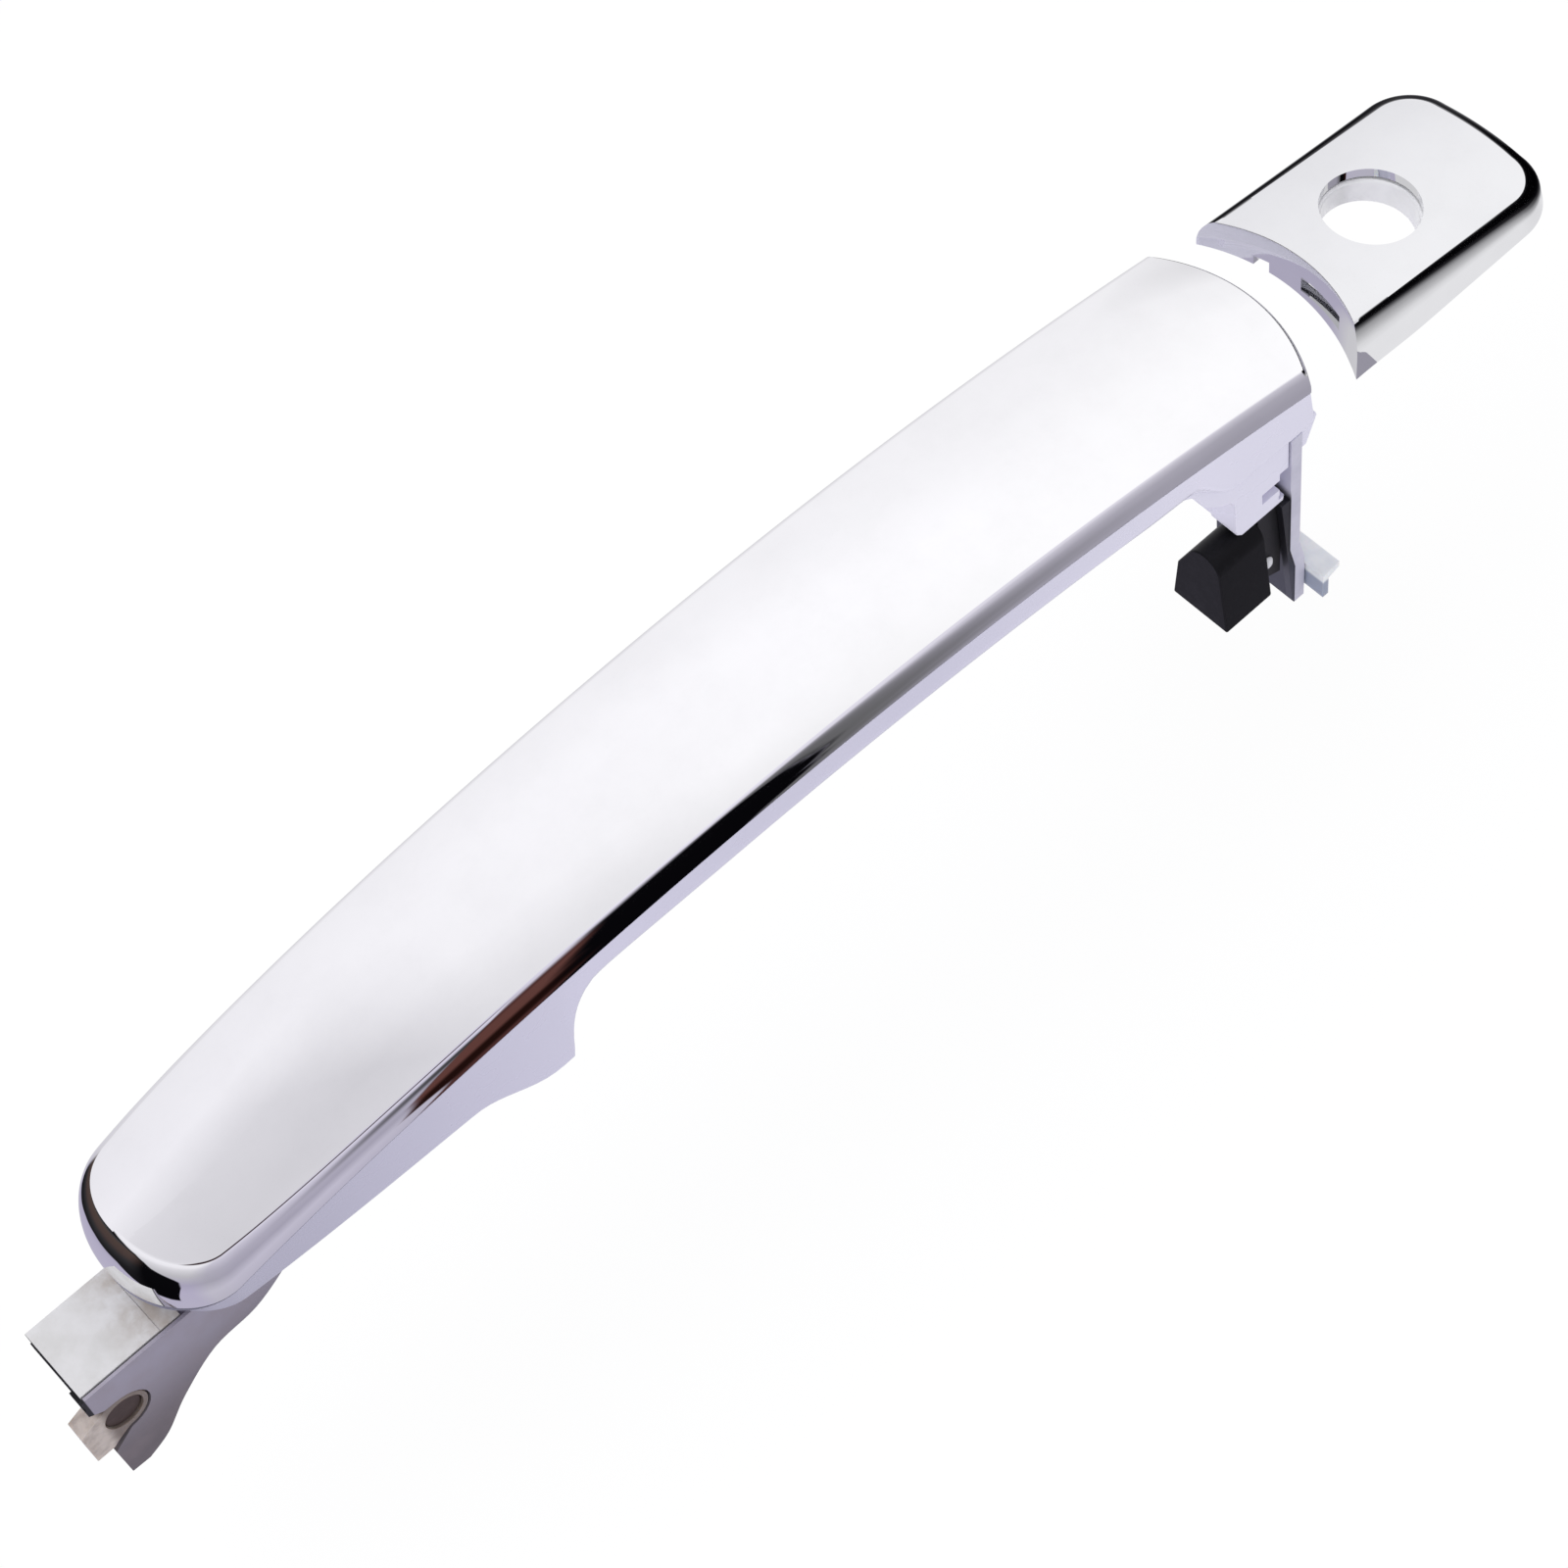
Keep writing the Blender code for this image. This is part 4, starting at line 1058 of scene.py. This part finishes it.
# All the studio's angles are in degrees. Azimuth 0 is towards -Y and 90 towards +X.
# The walls: (elevation, tone) stops, each with its own blue cast where it has a third number
FRONT_WALL = [(90, 220), (72, 208), (62, 216), (52, 238), (40, 232), (30, 214), (4, 184)]
FRONT_WALL += [(-20, 165, 18), (-34, 176, 18), (-60, 178, 16), (-90, 172, 16)]
LEFT_WALL = [(90, 214), (72, 204), (60, 206), (53, 214), (40, 198), (5, 172), (-18, 163)]
LEFT_WALL += [(-40, 190), (-62, 182)]
NEAR_WALL = [(90, 226), (72, 234), (60, 222), (46, 216), (34, 196), (18, 182), (0, 166)]
NEAR_WALL += [(-40, 156), (-60, 156), (-66, 208, 16), (-90, 212, 18)]
END_WALL = [(90, 222), (80, 232), (70, 240), (57, 254), (35, 254), (31, 240), (27, 136)]
END_WALL += [(-28, 94), (-60, 170), (-90, 205)]
FAR_WALL = [(90, 220), (78, 230), (69, 250), (52, 255), (43, 246), (10, 234), (-60, 200)]
FAR_WALL += [(-90, 205)]
BACK_WALL = [(90, 220), (80, 226), (68, 242), (55, 245), (42, 240), (10, 232), (-60, 200)]
BACK_WALL += [(-90, 205)]

# Each wall's azimuth and blue cast
WALLS = [
    (-180, BACK_WALL, 4),
    (-160, FRONT_WALL, 5),
    (-62, FRONT_WALL, 5),
    (-45, LEFT_WALL, 11),
    (-4, LEFT_WALL, 14),
    (24, NEAR_WALL, 10),
    (60, NEAR_WALL, 9),
    (84, END_WALL, 3),
    (113, END_WALL, 2),
    (135, FAR_WALL, 3),
    (180, BACK_WALL, 4),
]

# The near side leans below the horizon: (elevation, lean), over these azimuths
NEAR_LEAN = [(-60, 14.0), (-39, 4.7), (-14, 0.8), (0, 0.0)]
NEAR_SIDE = (-45, -12, 60, 90)

# Cards: azimuths and elevations of their soft edges, and tones. The last is the thin dark line that runs
# along the handle's edge.
CARDS = [
    ((-14, 0, 2, 8), (-4, 18, 26, 40), 66),
    ((15.6, 15.7, 15.8, 28), (-66, -62, 34, 58), 98),
    ((0, 1, 7, 9), (-65, -61, 24, 62), (80, 52, 50)),
    ((0.2, 1.2, 6, 7.5), (-40, -20, 12, 26), (94, 62, 58)),
    ((0.2, 1.2, 7, 8), (-64, -46, -32, -14), (36, 22, 20)),
    ((5.6, 7.6, 15.2, 16.4), (-65, -61, 30, 68), 15),
    ((-92, -84, -6, 4), (54, 57, 63, 66), (60, 46.4, 50.3)),
]
CARD_BLUE = 2

# The dark card that the nose mirrors: its upper and lower edges by azimuth, its ends, the azimuths where
# it turns black, and its tones by elevation
NOSE_CARD_TOP = [(-168, 16), (-160, 36), (-150, 44), (-140, 47), (-130, 45), (-118, 40)]
NOSE_CARD_TOP += [(-104, 31), (-95, 20), (-88, 8), (-80, 0), (-72, -8), (-68, -14)]
NOSE_CARD_FOOT = [(-168, -20), (-160, -34), (-150, -32), (-140, -26), (-128, -23), (-112, -26)]
NOSE_CARD_FOOT += [(-104, -36), (-95, -44), (-85, -49), (-78, -50), (-72, -36), (-68, -24)]
NOSE_CARD_ENDS = (-168, -162, -69.5, -67.5)
NOSE_CARD_BLACK = (-104, -92)
NOSE_CARD = [(-90, 20), (-40, 22), (-20, 36), (-8, 50), (6, (74, 62, 60)), (24, (78, 66, 62))]
NOSE_CARD += [(32, 62), (38, 20), (90, 12)]


def add_card(n, colour, turn, lift, card):
    """The colour with a card over it."""
    azimuths, elevations, value = card
    mask = n.math("MULTIPLY", between(n, turn, azimuths), between(n, lift, elevations))
    return n.mix(mask, colour, tuple(c / CHROME_ALBEDO for c in tone(value, CARD_BLUE)))


def add_nose_card(n, colour, turn, lift, height):
    """The colour with the nose's card over it, which has soft edges and a black border at its top."""
    top = n.math("SUBTRACT", lift, curve(n, turn, NOSE_CARD_TOP))
    foot = n.math("SUBTRACT", lift, curve(n, turn, NOSE_CARD_FOOT))
    mask = n.math("MULTIPLY", n.step(top, 1.6, -1.6), n.step(foot, -1.2, 1.2))
    mask = n.math("MULTIPLY", mask, between(n, turn, NOSE_CARD_ENDS))
    card = sky_column(n, height, NOSE_CARD, CARD_BLUE)
    black = sky_column(n, height, [(-90, 14), (90, 20)], CARD_BLUE)
    card = n.mix(n.step(turn, *NOSE_CARD_BLACK), card, black)
    card = n.mix(n.step(top, -7.0, -1.0), card, black)
    return n.mix(mask, colour, card)


def studio_sky(n):
    """The studio's walls and cards, as the chrome mirrors them."""
    direction = n.add("ShaderNodeTexCoord").outputs["Generated"]
    x, y, z = (n.axis(name, direction) for name in "XYZ")
    degrees = math.degrees(1)
    lift = n.math("MULTIPLY", n.math("ARCSINE", z), degrees)
    height = n.math("MULTIPLY_ADD", lift, 1 / 180, 0.5)
    turn = n.math("ARCTAN2", x, n.math("MULTIPLY", y, -1.0))
    turn = n.math("MULTIPLY", turn, degrees)
    lean = n.math("MULTIPLY", curve(n, lift, NEAR_LEAN), between(n, turn, NEAR_SIDE))
    turn = n.math("SUBTRACT", turn, lean)
    columns = [(angle, sky_column(n, height, stops, blue)) for angle, stops, blue in WALLS]
    colour = columns[0][1]
    for (start, _), (end, column) in zip(columns, columns[1:]):
        colour = n.mix(n.step(turn, start, end, "LINEAR"), colour, column)
    for card in CARDS:
        colour = add_card(n, colour, turn, lift, card)
    return add_nose_card(n, colour, turn, lift, height)


def make_world():
    """White for the camera, soft white light for matt pieces, and the painted studio for the chrome."""
    world = bpy.data.worlds.new("studio")
    bpy.context.scene.world = world
    world.use_nodes = True
    n = Nodes(world.node_tree)
    ray = n.add("ShaderNodeLightPath").outputs
    white = n.background((1, 1, 1))
    soft = n.background((0.97, 0.97, 1.0), 0.95)
    mirrored = n.background(studio_sky(n))
    lit = n.mix_shader(ray["Is Glossy Ray"], soft, mirrored)
    n.output(n.mix_shader(ray["Is Camera Ray"], lit, white), "ShaderNodeOutputWorld")


FLOOR_SIZE = 3.0
FLOOR_DROP = 0.012
FLOOR_GLOW = 0.92


def make_floor():
    """A plain pale floor under the handle, lit partly by itself and left out of the chrome."""
    bm = bmesh.new()
    bmesh.ops.create_grid(bm, x_segments=1, y_segments=1, size=FLOOR_SIZE)
    bmesh.ops.translate(bm, vec=(0.12, 0, CAD_BOX[0].z - FLOOR_DROP), verts=bm.verts)
    floor = new_object("floor", bm)
    material, n = start_material("floor")
    matt = n.add("ShaderNodeBsdfDiffuse")
    n.feed(matt.inputs["Color"], (0.97, 0.97, 0.97))
    n.output(n.mix_shader(FLOOR_GLOW, matt, n.add("ShaderNodeEmission")))
    floor.data.materials.append(material)
    floor.visible_glossy = False


def make_key_light():
    """A soft lamp above the nose's far side, which the chrome doesn't mirror."""
    light = bpy.data.lights.new("key", "AREA")
    light.shape = "DISK"
    light.size = 0.5
    light.energy = 2.0
    key = bpy.data.objects.new("key", light)
    bpy.context.scene.collection.objects.link(key)
    key.location = (-0.15, 0.25, 0.75)
    aim = Vector((0.12, 0, 0)) - key.location
    key.rotation_euler = aim.to_track_quat("-Z", "Y").to_euler()
    key.visible_glossy = False
    key.visible_camera = False


# The card round the cap: places on its plan, the way that its side faces there, in degrees from +X, and
# the tones mirrored at each slope of its rounded edge
CARD_SLOPES = (84, 79, 73, 60, 50, 42, 34, 24, 14, 4, -10)
NEAR_TONES = (232, 40, 12, 22, 96, 148, 166, 190, 214, 224, 224)
CAP_CARD = [
    (232, -17.4, -90, NEAR_TONES),
    (270, -17.0, -90, (232, 36, 10, 10, 40, 120, 160, 186, 214, 224, 224)),
    (276, -15.5, -60, (232, 30, 10, 8, 10, 20, 60, 140, 195, 215, 215)),
    (280, -11.5, -28, (230, 26, 9, 8, 8, 12, 30, 90, 160, 195, 200)),
    (281, -6.0, -5, (232, 60, 12, 10, 20, 60, 120, 160, 180, 190, 190)),
    (281.2, 0.0, 0, (236, 110, 22, 30, 80, 130, 165, 180, 190, 190, 190)),
    (280, 8.0, 8, (238, 150, 40, 50, 110, 160, 180, 190, 190, 190, 190)),
    (276, 15.0, 50, (238, 170, 60, 50, 90, 160, 200, 200, 200, 200, 200)),
    (270, 17.0, 90, (238, 180, 70, 22, 28, 90, 190, 200, 200, 200, 200)),
    (232, 17.4, 90, (238, 180, 70, 22, 28, 90, 190, 200, 200, 200, 200)),
]
CARD_DISTANCE = 20.0


def make_cap_card(camera_place):
    """The cap's own studio: a painted card that its rounded sides mirror, and that nothing else sees."""
    bm = bmesh.new()
    layer = bm.verts.layers.float_color.new("tone")
    columns = []
    for x, y, facing, tones in CAP_CARD:
        base = Vector((x, y, cap_top_z(x, 0) - 2))
        view = (base - camera_place).normalized()
        column = []
        for slope, value in zip(CARD_SLOPES, tones):
            face, rise = math.radians(facing), math.radians(slope)
            level = math.cos(rise)
            normal = Vector((math.cos(face) * level, math.sin(face) * level, math.sin(rise)))
            mirrored = view - 2 * view.dot(normal) * normal
            vertex = bm.verts.new(at(*(base + mirrored * CARD_DISTANCE)))
            vertex[layer] = (*(c / CAP_ALBEDO for c in tone(value, CARD_BLUE)), 1.0)
            column.append(vertex)
        columns.append(column)
    for one, other in zip(columns, columns[1:]):
        for k in range(len(CARD_SLOPES) - 1):
            bm.faces.new((one[k], other[k], other[k + 1], one[k + 1]))
    card = new_object("cap_card", bm)
    material, n = start_material("cap_card")
    paint = n.add("ShaderNodeAttribute", attribute_name="tone")
    glow = n.add("ShaderNodeEmission")
    n.feed(glow.inputs["Color"], paint.outputs["Color"])
    n.output(glow)
    card.data.materials.append(material)
    card.visible_camera = False
    card.visible_diffuse = False
    card.visible_shadow = False
    card.visible_transmission = False


# The photograph's view, fitted to the handle's outline: angles in degrees, and a lens for a 36 mm sensor
VIEW_AZIMUTH, VIEW_ELEVATION, VIEW_ROLL = 58.29, 58.83, -12.36
VIEW_CENTRE = (110, 0, 15)
VIEW_SHIFT = (12.70, -2.99)
VIEW_DISTANCE = 520.46
VIEW_LENS = 81.14


def make_camera():
    """Makes the photograph's camera and returns its place in the handle's own frame."""
    azimuth, elevation, roll = map(math.radians, (VIEW_AZIMUTH, VIEW_ELEVATION, VIEW_ROLL))
    upright = Vector((0, 0, 1))
    level = Vector((math.cos(azimuth), math.sin(azimuth), 0))
    forward = math.cos(elevation) * level - math.sin(elevation) * upright
    right = forward.cross(upright).normalized()
    up = right.cross(forward)
    rolled_right = math.cos(roll) * right + math.sin(roll) * up
    rolled_up = math.cos(roll) * up - math.sin(roll) * right
    aside = VIEW_SHIFT[0] * rolled_right + VIEW_SHIFT[1] * rolled_up
    place = Vector(VIEW_CENTRE) + aside - VIEW_DISTANCE * forward
    camera_data = bpy.data.cameras.new("photo")
    camera_data.sensor_width = 36
    camera_data.lens = VIEW_LENS
    camera_data.clip_start = 0.01
    camera = bpy.data.objects.new("photo", camera_data)
    bpy.context.scene.collection.objects.link(camera)
    turn = Matrix((rolled_right, rolled_up, -forward)).transposed().to_4x4()
    camera.matrix_world = Matrix.Translation(at(*place)) @ turn
    bpy.context.scene.camera = camera
    return place


# Pieces, their bodies and their finish

SHELLS = [
    (make_outer_cover, "grip_outer_cover", "grip", "chrome", "chrome"),
    (make_inner_half, "grip_inner_half", "grip", "chrome_inner", "chrome_inner"),
    (make_cap_shell, "cap_shell", "cap", "chrome", "chrome_cap"),
]

PARTS = [
    ("core_bar", "grip", "black_plastic", 0.25),
    ("front_hinge_arm", "grip", "cast_arm", 0.45),
    ("front_tongue", "grip", "tongue_grey", 0.12),
    ("hinge_bush", "grip", "nylon_brown", 0.25),
    ("hinge_pin", "door_side", "dark_steel", 0.3),
    ("rear_leg", "grip", "cast_leg", 0.25),
    ("hook_foot", "grip", "nylon_white", 0.25),
    ("rubber_bumper", "grip", "black_rubber", 0.5),
    ("bumper_holder", "grip", "black_plastic", 0.2),
    ("leg_rivet", "grip", "pale_plastic", 0.1),
    ("arm_screw_front", "grip", "steel", 0.08),
    ("arm_screw_rear", "grip", "steel", 0.08),
    ("leg_screw_near", "grip", "steel", 0.08),
    ("leg_screw_far", "grip", "steel", 0.08),
    ("cover_screw_front", "grip", "steel", 0.08),
    ("cover_screw_rear", "grip", "steel", 0.08),
    ("cap_inner_frame", "cap", "pale_plastic", 0.15),
    ("cap_key_collar", "cap", "chrome", 0.12),
    ("cap_screw_near", "cap", "steel", 0.08),
    ("cap_screw_far", "cap", "steel", 0.08),
]


def dress(obj, node, body, material):
    obj.data.materials.clear()
    obj.data.materials.append(material)
    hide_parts(node)
    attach(obj, body)


def build():
    materials = make_materials()
    for maker, node, body, slot, look in SHELLS:
        dress(maker(), node, body, materials[look])
    for node, body, slot, bevel in PARTS:
        look = "chrome_collar" if node == "cap_key_collar" else slot
        dress(refined(node, bevel), node, body, materials[look])
    make_world()
    make_floor()
    make_key_light()
    make_cap_card(make_camera())
    bpy.context.scene.view_settings.view_transform = "Standard"


build()
